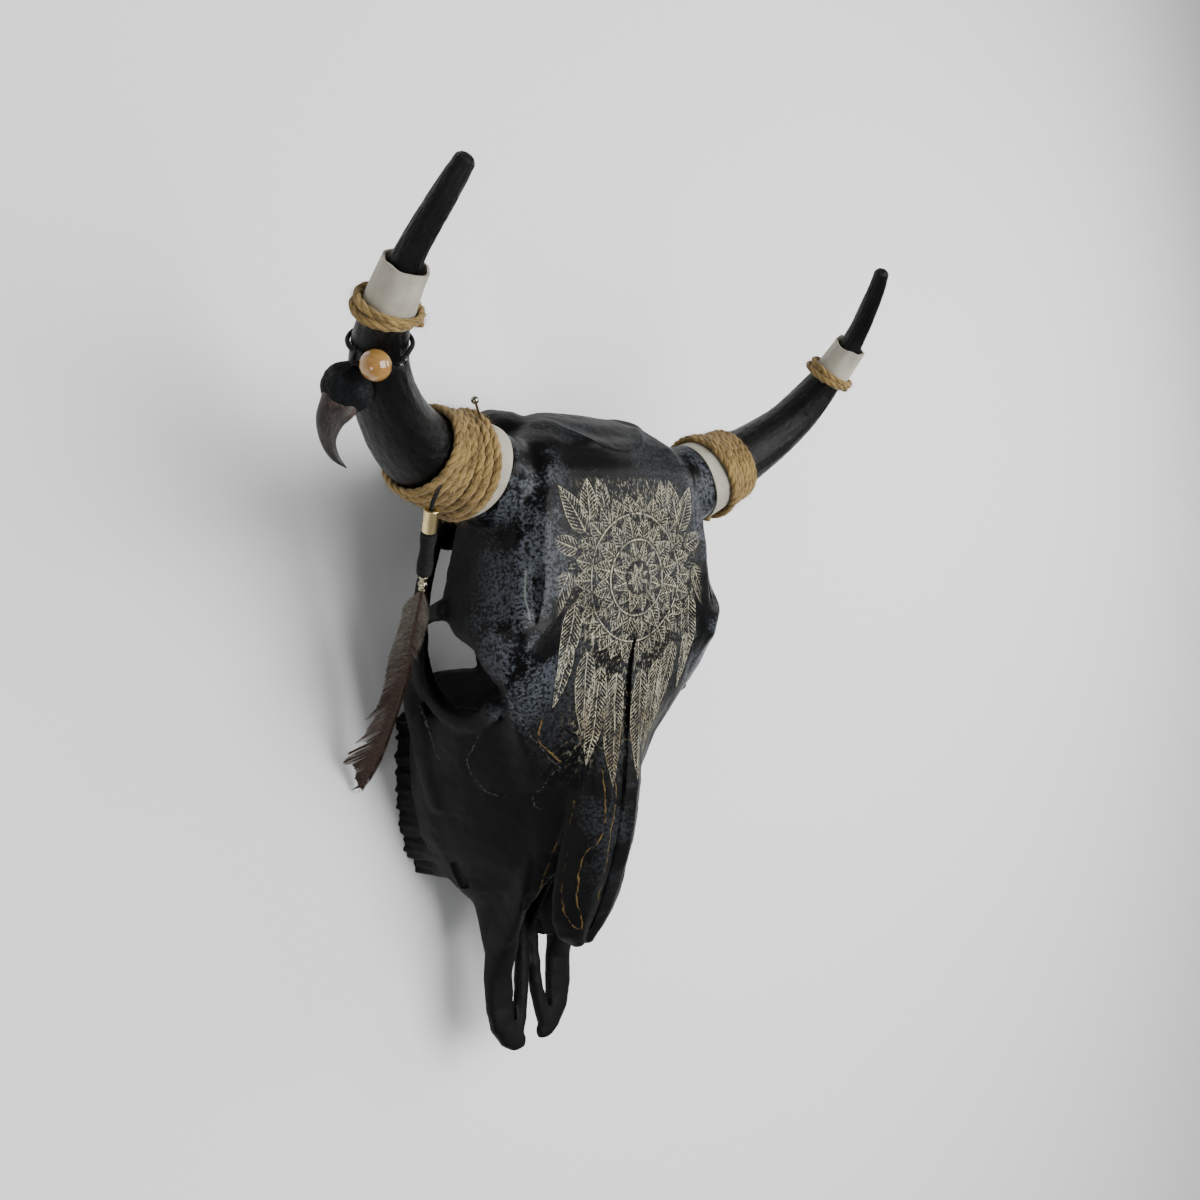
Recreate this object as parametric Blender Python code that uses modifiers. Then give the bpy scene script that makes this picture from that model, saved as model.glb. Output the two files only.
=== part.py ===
"""Engraved bull skull with rope-bound horns, a claw, a bead and a feather pendant.

Metres, +Z up. The skull lies on its cheek teeth and on the two processes beside its neck joint, so the
face looks up: the nose points to -Y, the horns stand at +Y and the skull's own right side is at -X.
Points are written in the skull's frame, whose origin is on the middle plane behind the poll, and one
empty carries everything to the middle of the object's footprint.
"""

import math

import bmesh
import bpy
import numpy as np
from mathutils import Matrix, Vector

# The skull's frame inside the part's frame
BITE_LEVEL = -0.010
FOOTPRINT_MIDDLE = (-0.0023, -0.1992)

# The skull
VOXEL = 0.0026
SKULL_TRIANGLES = 4500
RING_POINTS = 28

# The horns: middle line of the one at +X, and its radii at those points
HORN_LINE = (
    (0.096, -0.062, 0.147),
    (0.119, -0.055, 0.152),
    (0.165, -0.041, 0.158),
    (0.203, -0.015, 0.181),
    (0.222, 0.014, 0.206),
    (0.227, 0.050, 0.241),
    (0.220, 0.081, 0.268),
    (0.213, 0.102, 0.284),
)
HORN_RADII = (0.0305, 0.0298, 0.0245, 0.0190, 0.0155, 0.0090, 0.0072, 0.0055)
HORN_GIRTH = {-1: 1.06, 1: 1.0}
BASE_SHIFT = {-1: 0.002, 1: -0.003}
HORN_SIDES = 12
STUMP_END = 0.020
STUMP_ROOM = 0.046
GAP = 0.0003

# What is bound round the horns: places along the middle line, from its first point
BASE_BAND = (0.0185, 0.0365)
BASE_WRAP = (0.0270, 0.0705)
BASE_TURNS = 7
ROPE_RING = (0.182, 0.1935)
RING_TURNS = 2
TOP_BAND = (0.183, 0.220)
TOP_FLARE = 0.0025
BAND_WALL = 0.0016
ROPE = 0.0056

# Every ring of the horns: what is bound round them has its rings at the same places
HORN_PLACES = (
    STUMP_END + GAP,
    BASE_WRAP[0],
    BASE_BAND[1],
    0.046,
    0.059,
    BASE_WRAP[1],
    0.090,
    0.107,
    0.123,
    0.139,
    0.155,
    0.166,
    ROPE_RING[0],
    ROPE_RING[1],
    0.206,
    TOP_BAND[1],
    0.238,
    0.256,
    0.272,
)

# The claw and its cap on the horn at -X
CAP_MIDDLE = (-0.2345, -0.0123, 0.1890)
CAP_HALF = (0.0158, 0.0150, 0.0105)
CLAW_LINE = (
    (-0.2360, -0.0135, 0.1875),
    (-0.2390, -0.0215, 0.1860),
    (-0.2440, -0.0314, 0.1830),
    (-0.2449, -0.0430, 0.1810),
    (-0.2404, -0.0523, 0.1800),
    (-0.2336, -0.0588, 0.1810),
)
CLAW_WIDTHS = (0.0112, 0.0115, 0.0086, 0.0048, 0.0027, 0.0006)
CLAW_DEPTHS = (0.0062, 0.0062, 0.0052, 0.0034, 0.0020, 0.0006)

# The bead and the cord that holds it on the same horn
BEAD_RADIUS = 0.0092
BEAD_PLACE = 0.166
BEAD_WAY = (-0.591, -0.091, 0.817)
SEED_RADIUS = 0.0024
SEED_STRETCHES = (2, 3)
CORD_RADIUS = 0.0015
BORE_RADIUS = 0.0019
LASHING_STEPS = 30

# The pendant: one straight axis from the tube's top to the crimp's end, then the feather's bent line
PENDANT_TOP = (-0.1633, -0.0824, 0.1680)
PENDANT_END = (-0.1515, -0.1340, 0.1370)
TUBE_SPAN = (0.0, 0.0163)
TUBE_RADIUS = 0.0048
THREAD_SPAN = (0.0166, 0.0490)
THREAD_RADIUS = 0.0056
THREAD_RIDGES = 5
CRIMP_SPAN = (0.0493, 0.0605)
CRIMP_RADIUS = 0.0032
QUILL_START = 0.0500
QUILL_RADIUS = 0.0010
FEATHER_LINE = (
    (-0.1420, -0.1675, 0.1100),
    (-0.1310, -0.1990, 0.0825),
    (-0.1240, -0.2385, 0.0485),
    (-0.1195, -0.2620, 0.0240),
    (-0.1170, -0.2860, -0.0045),
)
# Shares of the feather's length, with the vane's width to each side of the shaft
FEATHER_EDGE = (
    (0.000, 0.0010, 0.0010),
    (0.050, 0.0010, 0.0010),
    (0.070, 0.0070, 0.0045),
    (0.130, 0.0105, 0.0080),
    (0.200, 0.0105, 0.0075),
    (0.270, 0.0120, 0.0070),
    (0.330, 0.0140, 0.0035),
    (0.430, 0.0140, 0.0025),
    (0.520, 0.0130, 0.0025),
    (0.580, 0.0140, 0.0025),
    (0.610, 0.0185, 0.0025),
    (0.620, 0.0125, 0.0025),
    (0.690, 0.0155, 0.0025),
    (0.730, 0.0200, 0.0028),
    (0.740, 0.0140, 0.0030),
    (0.785, 0.0110, 0.0030),
    (0.805, 0.0215, 0.0032),
    (0.870, 0.0190, 0.0034),
    (0.930, 0.0130, 0.0032),
    (0.975, 0.0080, 0.0026),
    (1.000, 0.0014, 0.0010),
)
VANE_THICKNESS = 0.0008

# The small metal ball on its stem
BALL_MIDDLE = (-0.1390, -0.0136, 0.1877)
BALL_RADIUS = 0.0027
STEM_RADIUS = 0.0008


def material(name, colour, roughness, metallic=0.0):
    made = bpy.data.materials.new(name)
    made.use_nodes = True
    shader = made.node_tree.nodes["Principled BSDF"]
    shader.inputs["Base Color"].default_value = (*colour, 1.0)
    shader.inputs["Roughness"].default_value = roughness
    shader.inputs["Metallic"].default_value = metallic
    return made


def curve_through(points, count):
    """Points evenly spread by length along a Catmull-Rom curve through the given ones, and its length."""
    points = np.array(points, float)
    ends = np.vstack([2 * points[0] - points[1], points, 2 * points[-1] - points[-2]])
    fine = []
    for a, b, c, d in zip(ends, ends[1:], ends[2:], ends[3:]):
        t = np.linspace(0, 1, 24, endpoint=False)[:, None]
        bend = (2 * a - 5 * b + 4 * c - d) * t**2 + (3 * b - a - 3 * c + d) * t**3
        fine.append(0.5 * (2 * b + (c - a) * t + bend))
    fine = np.vstack(fine + [points[-1:]])
    steps = np.linalg.norm(np.diff(fine[:, :3], axis=0), axis=1)
    length = np.concatenate([[0], np.cumsum(steps)])
    at = np.linspace(0, length[-1], count)
    columns = [np.interp(at, length, fine[:, k]) for k in range(points.shape[1])]
    return np.stack(columns, 1), length[-1]


def add_loft(bm, rings):
    """A closed body through rings of equal count, with a flat cap at each end."""
    loops = [[bm.verts.new(point) for point in ring] for ring in rings]
    faces = []
    for one, other in zip(loops, loops[1:]):
        for k, vert in enumerate(one):
            following = (k + 1) % len(one)
            faces.append(bm.faces.new((vert, one[following], other[following], other[k])))
    faces.append(bm.faces.new(loops[0][::-1]))
    faces.append(bm.faces.new(loops[-1]))
    bmesh.ops.recalc_face_normals(bm, faces=faces)


def add_closed_loft(bm, rings):
    """A ring-shaped body through rings of equal count, the last joined to the first."""
    loops = [[bm.verts.new(point) for point in ring] for ring in rings]
    for one, other in zip(loops, loops[1:] + loops[:1]):
        for k, vert in enumerate(one):
            following = (k + 1) % len(one)
            bm.faces.new((vert, one[following], other[following], other[k]))


def add_ball(bm, middle, half, turn=Matrix.Identity(4)):
    """An ellipsoid with the given half lengths."""
    size = Matrix.Diagonal((*half, 1.0))
    place = Matrix.Translation(middle) @ turn @ size
    bmesh.ops.create_uvsphere(bm, u_segments=24, v_segments=14, radius=1.0, matrix=place)


def tube_rings(points, sideways, upright, up=(0, 0, 1), sides=14, count=None):
    """Ellipses across a path: half width sideways, half height along up."""
    table = np.column_stack([points, sideways, upright])
    table, _ = curve_through(table, count or 4 * len(points))
    path = table[:, :3]
    along = np.gradient(path, axis=0)
    along /= np.linalg.norm(along, axis=1, keepdims=True)
    right = np.cross(along, up)
    right /= np.linalg.norm(right, axis=1, keepdims=True)
    high = np.cross(right, along)
    turn = np.linspace(0, 2 * math.pi, sides, endpoint=False)[None, :, None]
    across = right[:, None] * table[:, 3, None, None] * np.cos(turn)
    upwards = high[:, None] * table[:, 4, None, None] * np.sin(turn)
    return path[:, None] + across + upwards


def add_tube(bm, points, sideways, upright=None, **shape):
    add_loft(bm, tube_rings(points, sideways, upright or sideways, **shape))


def mirrored(points):
    return [(-x, y, z) for x, y, z in points]


def add_pair(bm, adder, points, *sizes, **shape):
    """The same form on both sides of the middle plane."""
    adder(bm, points, *sizes, **shape)
    adder(bm, mirrored(points), *sizes, **shape)


def add_ball_pair(bm, middle, half, turn=Matrix.Identity(4)):
    add_ball(bm, middle, half, turn)
    flip = Matrix.Diagonal((-1, 1, 1, 1))
    add_ball(bm, (-middle[0], middle[1], middle[2]), half, flip @ turn @ flip)


def section_ring(y, half):
    """A smooth closed ring across the skull from its half outline, top middle to bottom middle."""
    smooth, _ = curve_through(half, RING_POINTS // 2 + 1)
    left = smooth[1:-1][::-1] * (-1, 1)
    outline = np.vstack([smooth, left])
    return np.column_stack([outline[:, 0], np.full(len(outline), y), outline[:, 1]])


def sections_between(stations, count):
    """Sections at even steps between the given ones, each a list of half-outline points after its y."""
    ys = np.array([y for y, _ in stations])
    halves = np.array([half for _, half in stations], float)
    order = np.argsort(ys)
    fine_y = np.linspace(ys.min(), ys.max(), count)
    rows = []
    for y in fine_y:
        half = np.empty(halves.shape[1:])
        for k in range(len(half)):
            for axis in (0, 1):
                half[k, axis] = np.interp(y, ys[order], halves[order, k, axis])
        rows.append(section_ring(y, half))
    return rows


def frontal_half(middle, shoulder, edge, wall=0.030):
    """Half outline of the forehead plate: over the top, down its side wall and back underneath."""
    (ws, zs), (we, ze) = shoulder, edge
    return (
        (0, middle),
        (0.55 * ws, middle - 0.25 * (middle - zs) - 0.001),
        (ws, zs),
        (0.5 * (ws + we) + 0.004, 0.5 * (zs + ze) + 0.003),
        (we, ze),
        (we - 0.010, ze - 0.005),
        (we - 0.028, ze + 0.012),
        (0.45 * we, middle - wall - 0.020),
        (0, middle - wall - 0.016),
    )


def add_forehead(bm):
    stations = (
        (-0.007, frontal_half(0.132, (0.020, 0.130), (0.032, 0.120))),
        (-0.011, frontal_half(0.146, (0.036, 0.143), (0.050, 0.122))),
        (-0.019, frontal_half(0.161, (0.052, 0.156), (0.066, 0.124))),
        (-0.034, frontal_half(0.180, (0.070, 0.172), (0.086, 0.124))),
        (-0.055, frontal_half(0.191, (0.084, 0.181), (0.096, 0.116))),
        (-0.085, frontal_half(0.1955, (0.092, 0.184), (0.100, 0.111))),
        (-0.115, frontal_half(0.195, (0.093, 0.184), (0.109, 0.110))),
        (-0.145, frontal_half(0.192, (0.097, 0.183), (0.117, 0.112))),
        (-0.163, frontal_half(0.188, (0.106, 0.182), (0.121, 0.126))),
        (-0.183, frontal_half(0.184, (0.104, 0.178), (0.117, 0.145))),
        (-0.204, frontal_half(0.179, (0.091, 0.167), (0.107, 0.152))),
        (-0.230, frontal_half(0.174, (0.070, 0.157), (0.092, 0.138))),
        (-0.255, frontal_half(0.170, (0.050, 0.150), (0.076, 0.128))),
        (-0.285, frontal_half(0.163, (0.038, 0.146), (0.060, 0.112))),
    )
    add_loft(bm, sections_between(stations, 70))


# Sections of the cheek bones and the palate, back to front: y, then the half outline from the top middle
FACE_SECTIONS = (
    (-0.198, ((0, 0.165), (0.045, 0.160), (0.058, 0.130), (0.054, 0.090),
              (0.062, 0.060), (0.070, 0.034), (0.045, 0.028), (0, 0.045))),
    (-0.226, ((0, 0.168), (0.060, 0.156), (0.086, 0.140), (0.098, 0.112),
              (0.102, 0.072), (0.089, 0.028), (0.052, 0.014), (0, 0.040))),
    (-0.255, ((0, 0.165), (0.045, 0.150), (0.072, 0.128), (0.093, 0.092),
              (0.097, 0.058), (0.085, 0.018), (0.050, 0.008), (0, 0.036))),
    (-0.290, ((0, 0.157), (0.036, 0.141), (0.060, 0.110), (0.081, 0.076),
              (0.088, 0.048), (0.084, 0.018), (0.050, 0.008), (0, 0.034))),
    (-0.325, ((0, 0.142), (0.034, 0.128), (0.049, 0.104), (0.066, 0.074),
              (0.076, 0.048), (0.078, 0.020), (0.046, 0.010), (0, 0.034))),
    (-0.352, ((0, 0.122), (0.032, 0.112), (0.042, 0.095), (0.054, 0.070),
              (0.065, 0.046), (0.067, 0.026), (0.040, 0.018), (0, 0.034))),
    (-0.366, ((0, 0.108), (0.031, 0.102), (0.040, 0.089), (0.050, 0.067),
              (0.058, 0.048), (0.060, 0.034), (0.036, 0.025), (0, 0.035))),
    (-0.380, ((0, 0.093), (0.030, 0.090), (0.037, 0.081), (0.043, 0.062),
              (0.047, 0.048), (0.044, 0.036), (0.029, 0.030), (0, 0.037))),
    (-0.400, ((0, 0.070), (0.028, 0.074), (0.036, 0.072), (0.041, 0.058),
              (0.044, 0.046), (0.040, 0.037), (0.028, 0.035), (0, 0.038))),
    (-0.420, ((0, 0.050), (0.027, 0.058), (0.034, 0.058), (0.041, 0.052),
              (0.043, 0.045), (0.039, 0.039), (0.027, 0.038), (0, 0.040))),
)


def add_face(bm):
    add_loft(bm, sections_between(FACE_SECTIONS, 50))


def add_braincase(bm):
    add_ball(bm, (0, -0.090, 0.116), (0.070, 0.082, 0.060))
    add_ball(bm, (0, -0.038, 0.100), (0.088, 0.034, 0.060))
    add_ball(bm, (0, -0.018, 0.122), (0.020, 0.012, 0.022))
    add_ball_pair(bm, (0.060, -0.027, 0.115), (0.027, 0.0215, 0.034))
    base = ((0, -0.020, 0.052), (0, -0.080, 0.054), (0, -0.150, 0.070), (0, -0.205, 0.086))
    add_tube(bm, base, (0.021, 0.019, 0.014, 0.010))
    add_ball_pair(bm, (0.024, -0.019, 0.050), (0.019, 0.020, 0.021))
    process = ((0.054, -0.046, 0.070), (0.056, -0.034, 0.030), (0.050, -0.028, -0.014))
    add_pair(bm, add_tube, process, (0.017, 0.011, 0.007), up=(0, 1, 0))
    add_ball_pair(bm, (0.042, -0.074, 0.046), (0.013, 0.021, 0.020))
    add_ball_pair(bm, (0.078, -0.090, 0.076), (0.024, 0.016, 0.012))


def add_cheek_arches(bm):
    """The arch from the ear region forwards, the rim under the eye and the bar behind it."""
    arch = (
        (0.076, -0.062, 0.092),
        (0.097, -0.092, 0.085),
        (0.105, -0.122, 0.081),
        (0.110, -0.150, 0.077),
        (0.109, -0.178, 0.069),
    )
    widths = (0.012, 0.007, 0.0055, 0.006, 0.008)
    add_pair(bm, add_tube, arch, widths, (0.012, 0.009, 0.008, 0.009, 0.011))
    rim = (
        (0.115, -0.150, 0.086),
        (0.113, -0.172, 0.077),
        (0.108, -0.200, 0.077),
        (0.103, -0.221, 0.092),
        (0.099, -0.230, 0.118),
        (0.100, -0.219, 0.142),
    )
    widths = (0.0070, 0.0085, 0.0100, 0.0100, 0.0080, 0.0080)
    add_pair(bm, add_tube, rim, widths, (0.0060,) * 6, up=(1, 0, 0), count=30)
    bar = ((0.119, -0.148, 0.118), (0.117, -0.151, 0.100), (0.113, -0.156, 0.080))
    add_pair(bm, add_tube, bar, (0.008, 0.0065, 0.007), (0.006, 0.005, 0.006), up=(1, 0, 0))
    crest = ((0.108, -0.186, 0.062), (0.104, -0.220, 0.058), (0.094, -0.262, 0.052), (0.084, -0.300, 0.050))
    add_pair(bm, add_tube, crest, (0.006, 0.007, 0.006, 0.004), (0.012, 0.012, 0.010, 0.006))


def add_stumps(bm):
    """The bony stumps that carry the horns."""
    stump = ((0.060, -0.066, 0.140), (0.088, -0.064, 0.146), (0.124, -0.053, 0.153))
    for side in (-1, 1):
        girth = HORN_GIRTH[side]
        points = [(side * x, y + BASE_SHIFT[side], z) for x, y, z in stump]
        add_tube(bm, points, (0.038 * girth, 0.032 * girth, 0.032 * girth), sides=24)


def add_wings(bm):
    """The thin plates under the braincase that flank the inner nostrils."""
    stations = (
        (-0.145, 0.052, 0.080, 0.004),
        (-0.168, 0.030, 0.092, 0.004),
        (-0.200, 0.036, 0.100, 0.004),
        (-0.240, 0.034, 0.080, 0.005),
    )
    for side in (-1, 1):
        rows = []
        for y, low, high, half in stations:
            outline = (0.024 - half, low), (0.024 + half, low), (0.024 + half, high), (0.024 - half, high)
            rows.append([(side * x, y, z) for x, z in outline])
        add_loft(bm, rows)


def nasal_half(middle, half_width, edge, thick=0.006):
    """Section of one nasal bone, from the middle crack outwards and back underneath."""
    inner = 0.0012
    drop = middle - edge
    return (
        (inner, middle - 0.002),
        (inner + 0.35 * half_width, middle),
        (inner + 0.72 * half_width, middle - 0.38 * drop),
        (half_width, edge),
        (half_width - 0.004, edge - 0.003),
        (inner + 0.60 * half_width, middle - 0.38 * drop - thick),
        (inner + 0.25 * half_width, middle - thick - 0.001),
        (inner, middle - thick - 0.003),
    )


def add_nasals(bm):
    stations = (
        (-0.185, nasal_half(0.181, 0.014, 0.176)),
        (-0.215, nasal_half(0.1765, 0.024, 0.166)),
        (-0.250, nasal_half(0.172, 0.032, 0.155)),
        (-0.290, nasal_half(0.1675, 0.0355, 0.144)),
        (-0.330, nasal_half(0.157, 0.0365, 0.131)),
        (-0.365, nasal_half(0.142, 0.036, 0.119)),
        (-0.388, nasal_half(0.130, 0.032, 0.112)),
        (-0.402, nasal_half(0.122, 0.024, 0.110)),
        (-0.413, nasal_half(0.116, 0.009, 0.112, 0.004)),
    )
    for side in (-1, 1):
        rows = [[(side * x, y, z) for x, z in half] for y, half in stations]
        add_loft(bm, rows)


# The outer wall of the front bone: y, middle and half width across, lowest and highest point
SNOUT_WALL = (
    (-0.335, 0.0430, 0.0035, 0.050, 0.108),
    (-0.352, 0.0420, 0.0035, 0.046, 0.102),
    (-0.378, 0.0400, 0.0035, 0.042, 0.091),
    (-0.412, 0.0330, 0.0100, 0.040, 0.069),
    (-0.440, 0.0315, 0.0122, 0.040, 0.053),
    (-0.465, 0.0310, 0.0130, 0.040, 0.050),
    (-0.484, 0.0265, 0.0125, 0.040, 0.050),
    (-0.496, 0.0185, 0.0120, 0.040, 0.049),
    (-0.503, 0.0140, 0.0060, 0.042, 0.048),
)
# The thin upright plate inside the nose: y, lowest and highest point
NOSE_PLATE = ((-0.240, 0.050, 0.130), (-0.340, 0.042, 0.100), (-0.385, 0.042, 0.070), (-0.412, 0.044, 0.052))


def wall_rings(side):
    """Rounded boxes along the front bone's outer wall."""
    turn = np.linspace(0, 2 * math.pi, 16, endpoint=False)
    soft_x = np.sign(np.cos(turn)) * np.abs(np.cos(turn)) ** 0.7
    soft_z = np.sign(np.sin(turn)) * np.abs(np.sin(turn)) ** 0.7
    rows = []
    for y, x, half, low, high in SNOUT_WALL:
        middle, tall = 0.5 * (low + high), 0.5 * (high - low)
        rows.append(np.column_stack([side * (x + half * soft_x), np.full(16, y), middle + tall * soft_z]))
    return rows


def add_snout(bm):
    """The forked bones at the front: an outer wall and plate, and an inner prong, on each side."""
    for side in (-1, 1):
        add_loft(bm, wall_rings(side))
    prong = (
        (0.0060, -0.375, 0.046),
        (0.0055, -0.410, 0.046),
        (0.0070, -0.445, 0.045),
        (0.0105, -0.476, 0.045),
        (0.0165, -0.494, 0.045),
    )
    add_pair(bm, add_tube, prong, (0.005, 0.0055, 0.006, 0.006, 0.007), (0.005, 0.005, 0.005, 0.0048, 0.0045))
    plate = []
    for y, low, high in NOSE_PLATE:
        plate.append([(x, y, z) for x, z in ((-0.0022, low), (0.0022, low), (0.0022, high), (-0.0022, high))])
    add_loft(bm, plate)


# Cheek teeth, back to front: length along the row, outer face from the middle plane, width, columns
TEETH = (
    (0.0270, 0.0760, 0.0225, 2),
    (0.0260, 0.0790, 0.0235, 2),
    (0.0230, 0.0800, 0.0225, 2),
    (0.0190, 0.0785, 0.0205, 1),
    (0.0180, 0.0745, 0.0175, 1),
    (0.0140, 0.0660, 0.0135, 1),
)
TEETH_START = -0.232
TOOTH_TOP = 0.034


def add_teeth(bm):
    start = TEETH_START
    for length, outer, width, columns in TEETH:
        for k in range(columns):
            y = start - length * (k + 0.5) / columns
            half = 0.5 * length / columns
            for side in (-1, 1):
                rings = []
                for z, swell in ((BITE_LEVEL - 0.004, 0.94), (BITE_LEVEL + 0.008, 1.0), (TOOTH_TOP, 0.86)):
                    turn = np.linspace(0, 2 * math.pi, 16, endpoint=False)
                    x = side * (outer - 0.5 * width) + 0.5 * width * swell * np.cos(turn)
                    rings.append(np.column_stack([x, y + half * swell * np.sin(turn), np.full(16, z)]))
                add_loft(bm, rings)
        start -= length


def add_hollows(bm):
    """The eye sockets, the nose and the opening at the back of the braincase."""
    socket_turn = Matrix.Rotation(math.radians(-14), 4, "Z") @ Matrix.Rotation(math.radians(8), 4, "Y")
    add_ball_pair(bm, (0.100, -0.192, 0.114), (0.046, 0.031, 0.033), socket_turn)
    add_ball_pair(bm, (0.079, -0.170, 0.098), (0.026, 0.027, 0.032))
    nose = (
        (0, -0.255, 0.092),
        (0, -0.300, 0.090),
        (0, -0.345, 0.092),
        (0, -0.380, 0.088),
        (0, -0.420, 0.082),
        (0, -0.520, 0.085),
    )
    widths = (0.020, 0.028, 0.030, 0.031, 0.031, 0.030)
    add_tube(bm, nose, widths, (0.026, 0.040, 0.044, 0.044, 0.036, 0.036), sides=24)
    add_tube(bm, ((0, 0.040, 0.078), (0, -0.010, 0.080), (0, -0.065, 0.100)), (0.018, 0.018, 0.024))


def add_fine_hollows(bm):
    """The slits in the snout, the crack between the nasals and the small openings for nerves."""
    slit = ((0.0105, -0.406, 0.044), (0.0155, -0.440, 0.044), (0.0190, -0.478, 0.044))
    add_pair(bm, add_tube, slit, (0.0015, 0.0032, 0.0018), (0.020, 0.020, 0.020), count=12)
    add_pair(bm, add_tube, ((0.070, -0.345, 0.046), (0.060, -0.366, 0.046)), (0.004, 0.0045), (0.004, 0.006))
    groove = ((0.0890, -0.108, 0.190), (0.0915, -0.135, 0.190), (0.0940, -0.162, 0.187))
    add_pair(bm, add_tube, groove, (0.0015, 0.0050, 0.0015), (0.004, 0.013, 0.004), count=14)
    crack = (
        (0.0010, -0.178, 0.185),
        (-0.0015, -0.200, 0.181),
        (0.0010, -0.235, 0.175),
        (0.0, -0.290, 0.169),
        (0.0, -0.330, 0.159),
        (0.0, -0.365, 0.144),
        (0.0, -0.402, 0.123),
    )
    widths = (0.0008, 0.0028, 0.0026, 0.0024, 0.0024, 0.0022, 0.0010)
    add_tube(bm, crack, widths, (0.007,) * 7, count=28, sides=8)


def bone_mesh(name, adders, smoothing):
    """One fused skin over overlapping forms."""
    bm = bmesh.new()
    for adder in adders:
        adder(bm)
    mesh = bpy.data.meshes.new(name)
    bm.to_mesh(mesh)
    bm.free()
    return fused(name, mesh, smoothing)


def fused(name, mesh, smoothing):
    carrier = bpy.data.objects.new(name, mesh)
    bpy.context.scene.collection.objects.link(carrier)
    skin = carrier.modifiers.new("Skin", "REMESH")
    skin.mode = "VOXEL"
    skin.voxel_size = VOXEL
    if smoothing:
        soften = carrier.modifiers.new("Soften", "SMOOTH")
        soften.factor = 0.5
        soften.iterations = smoothing
    return settled(carrier)


def settled(carrier):
    """The evaluated mesh of an object, which is then removed."""
    graph = bpy.context.evaluated_depsgraph_get()
    mesh = bpy.data.meshes.new_from_object(carrier.evaluated_get(graph))
    bpy.data.objects.remove(carrier)
    return mesh


def carved(name, mesh, cutter_mesh):
    carrier = bpy.data.objects.new(name, mesh)
    tool = bpy.data.objects.new(name + "_cutter", cutter_mesh)
    for obj in (carrier, tool):
        bpy.context.scene.collection.objects.link(obj)
    cut = carrier.modifiers.new("Cut", "BOOLEAN")
    cut.operation = "DIFFERENCE"
    cut.object = tool
    result = settled(carrier)
    bpy.data.objects.remove(tool)
    return result


def joined(meshes):
    bm = bmesh.new()
    for mesh in meshes:
        bm.from_mesh(mesh)
    result = bpy.data.meshes.new("joined")
    bm.to_mesh(result)
    bm.free()
    return result


def keep_largest(mesh):
    """Drops crumbs that a cut has left beside the main body."""
    bm = bmesh.new()
    bm.from_mesh(mesh)
    bm.verts.ensure_lookup_table()
    seen, groups = set(), []
    for start in bm.verts:
        if start in seen:
            continue
        group, queue = [], [start]
        seen.add(start)
        while queue:
            vert = queue.pop()
            group.append(vert)
            for edge in vert.link_edges:
                other = edge.other_vert(vert)
                if other not in seen:
                    seen.add(other)
                    queue.append(other)
        groups.append(group)
    groups.sort(key=len)
    for group in groups[:-1]:
        bmesh.ops.delete(bm, geom=group, context="VERTS")
    bm.to_mesh(mesh)
    bm.free()


def thinned(mesh, triangles):
    carrier = bpy.data.objects.new("thinned", mesh)
    bpy.context.scene.collection.objects.link(carrier)
    mesh.calc_loop_triangles()
    thin = carrier.modifiers.new("Thin", "DECIMATE")
    thin.use_collapse_triangulate = True
    thin.ratio = triangles / len(mesh.loop_triangles)
    return settled(carrier)


def trim_tools():
    """The floor plane under the teeth, and the room round each horn beyond its stump."""
    bm = bmesh.new()
    slab = Matrix.Translation((0, -0.25, BITE_LEVEL - 0.05)) @ Matrix.Diagonal((0.4, 0.7, 0.1, 1))
    bmesh.ops.create_cube(bm, size=1.0, matrix=slab)
    room_start = BASE_BAND[0] - GAP
    for side in (-1, 1):
        horn = HornLine(side)
        stations = (
            (STUMP_END, 0.0005),
            (STUMP_END, horn.radius(STUMP_END)),
            (room_start, horn.radius(room_start)),
            (room_start, STUMP_ROOM),
            (0.085, STUMP_ROOM),
        )
        add_loft(bm, [horn.ring(place, radius) for place, radius in stations])
    mesh = bpy.data.meshes.new("trim")
    bm.to_mesh(mesh)
    bm.free()
    return mesh


def make_skull(parts):
    body = bone_mesh("body", (add_forehead, add_face, add_braincase, add_cheek_arches, add_stumps), 3)
    body = carved("body", body, bone_mesh("hollows", (add_hollows,), 2))
    late = bone_mesh("late", (add_nasals, add_snout, add_wings, add_teeth), 0)
    whole = fused("whole", joined((body, late)), 2)
    whole = carved("whole", whole, bone_mesh("fine", (add_fine_hollows,), 0))
    keep_largest(whole)
    whole = thinned(whole, SKULL_TRIANGLES)
    whole = carved("skull", whole, trim_tools())
    keep_largest(whole)
    return add_part(parts, "skull", whole, material("black painted bone", (0.012, 0.013, 0.016), 0.5))


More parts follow.
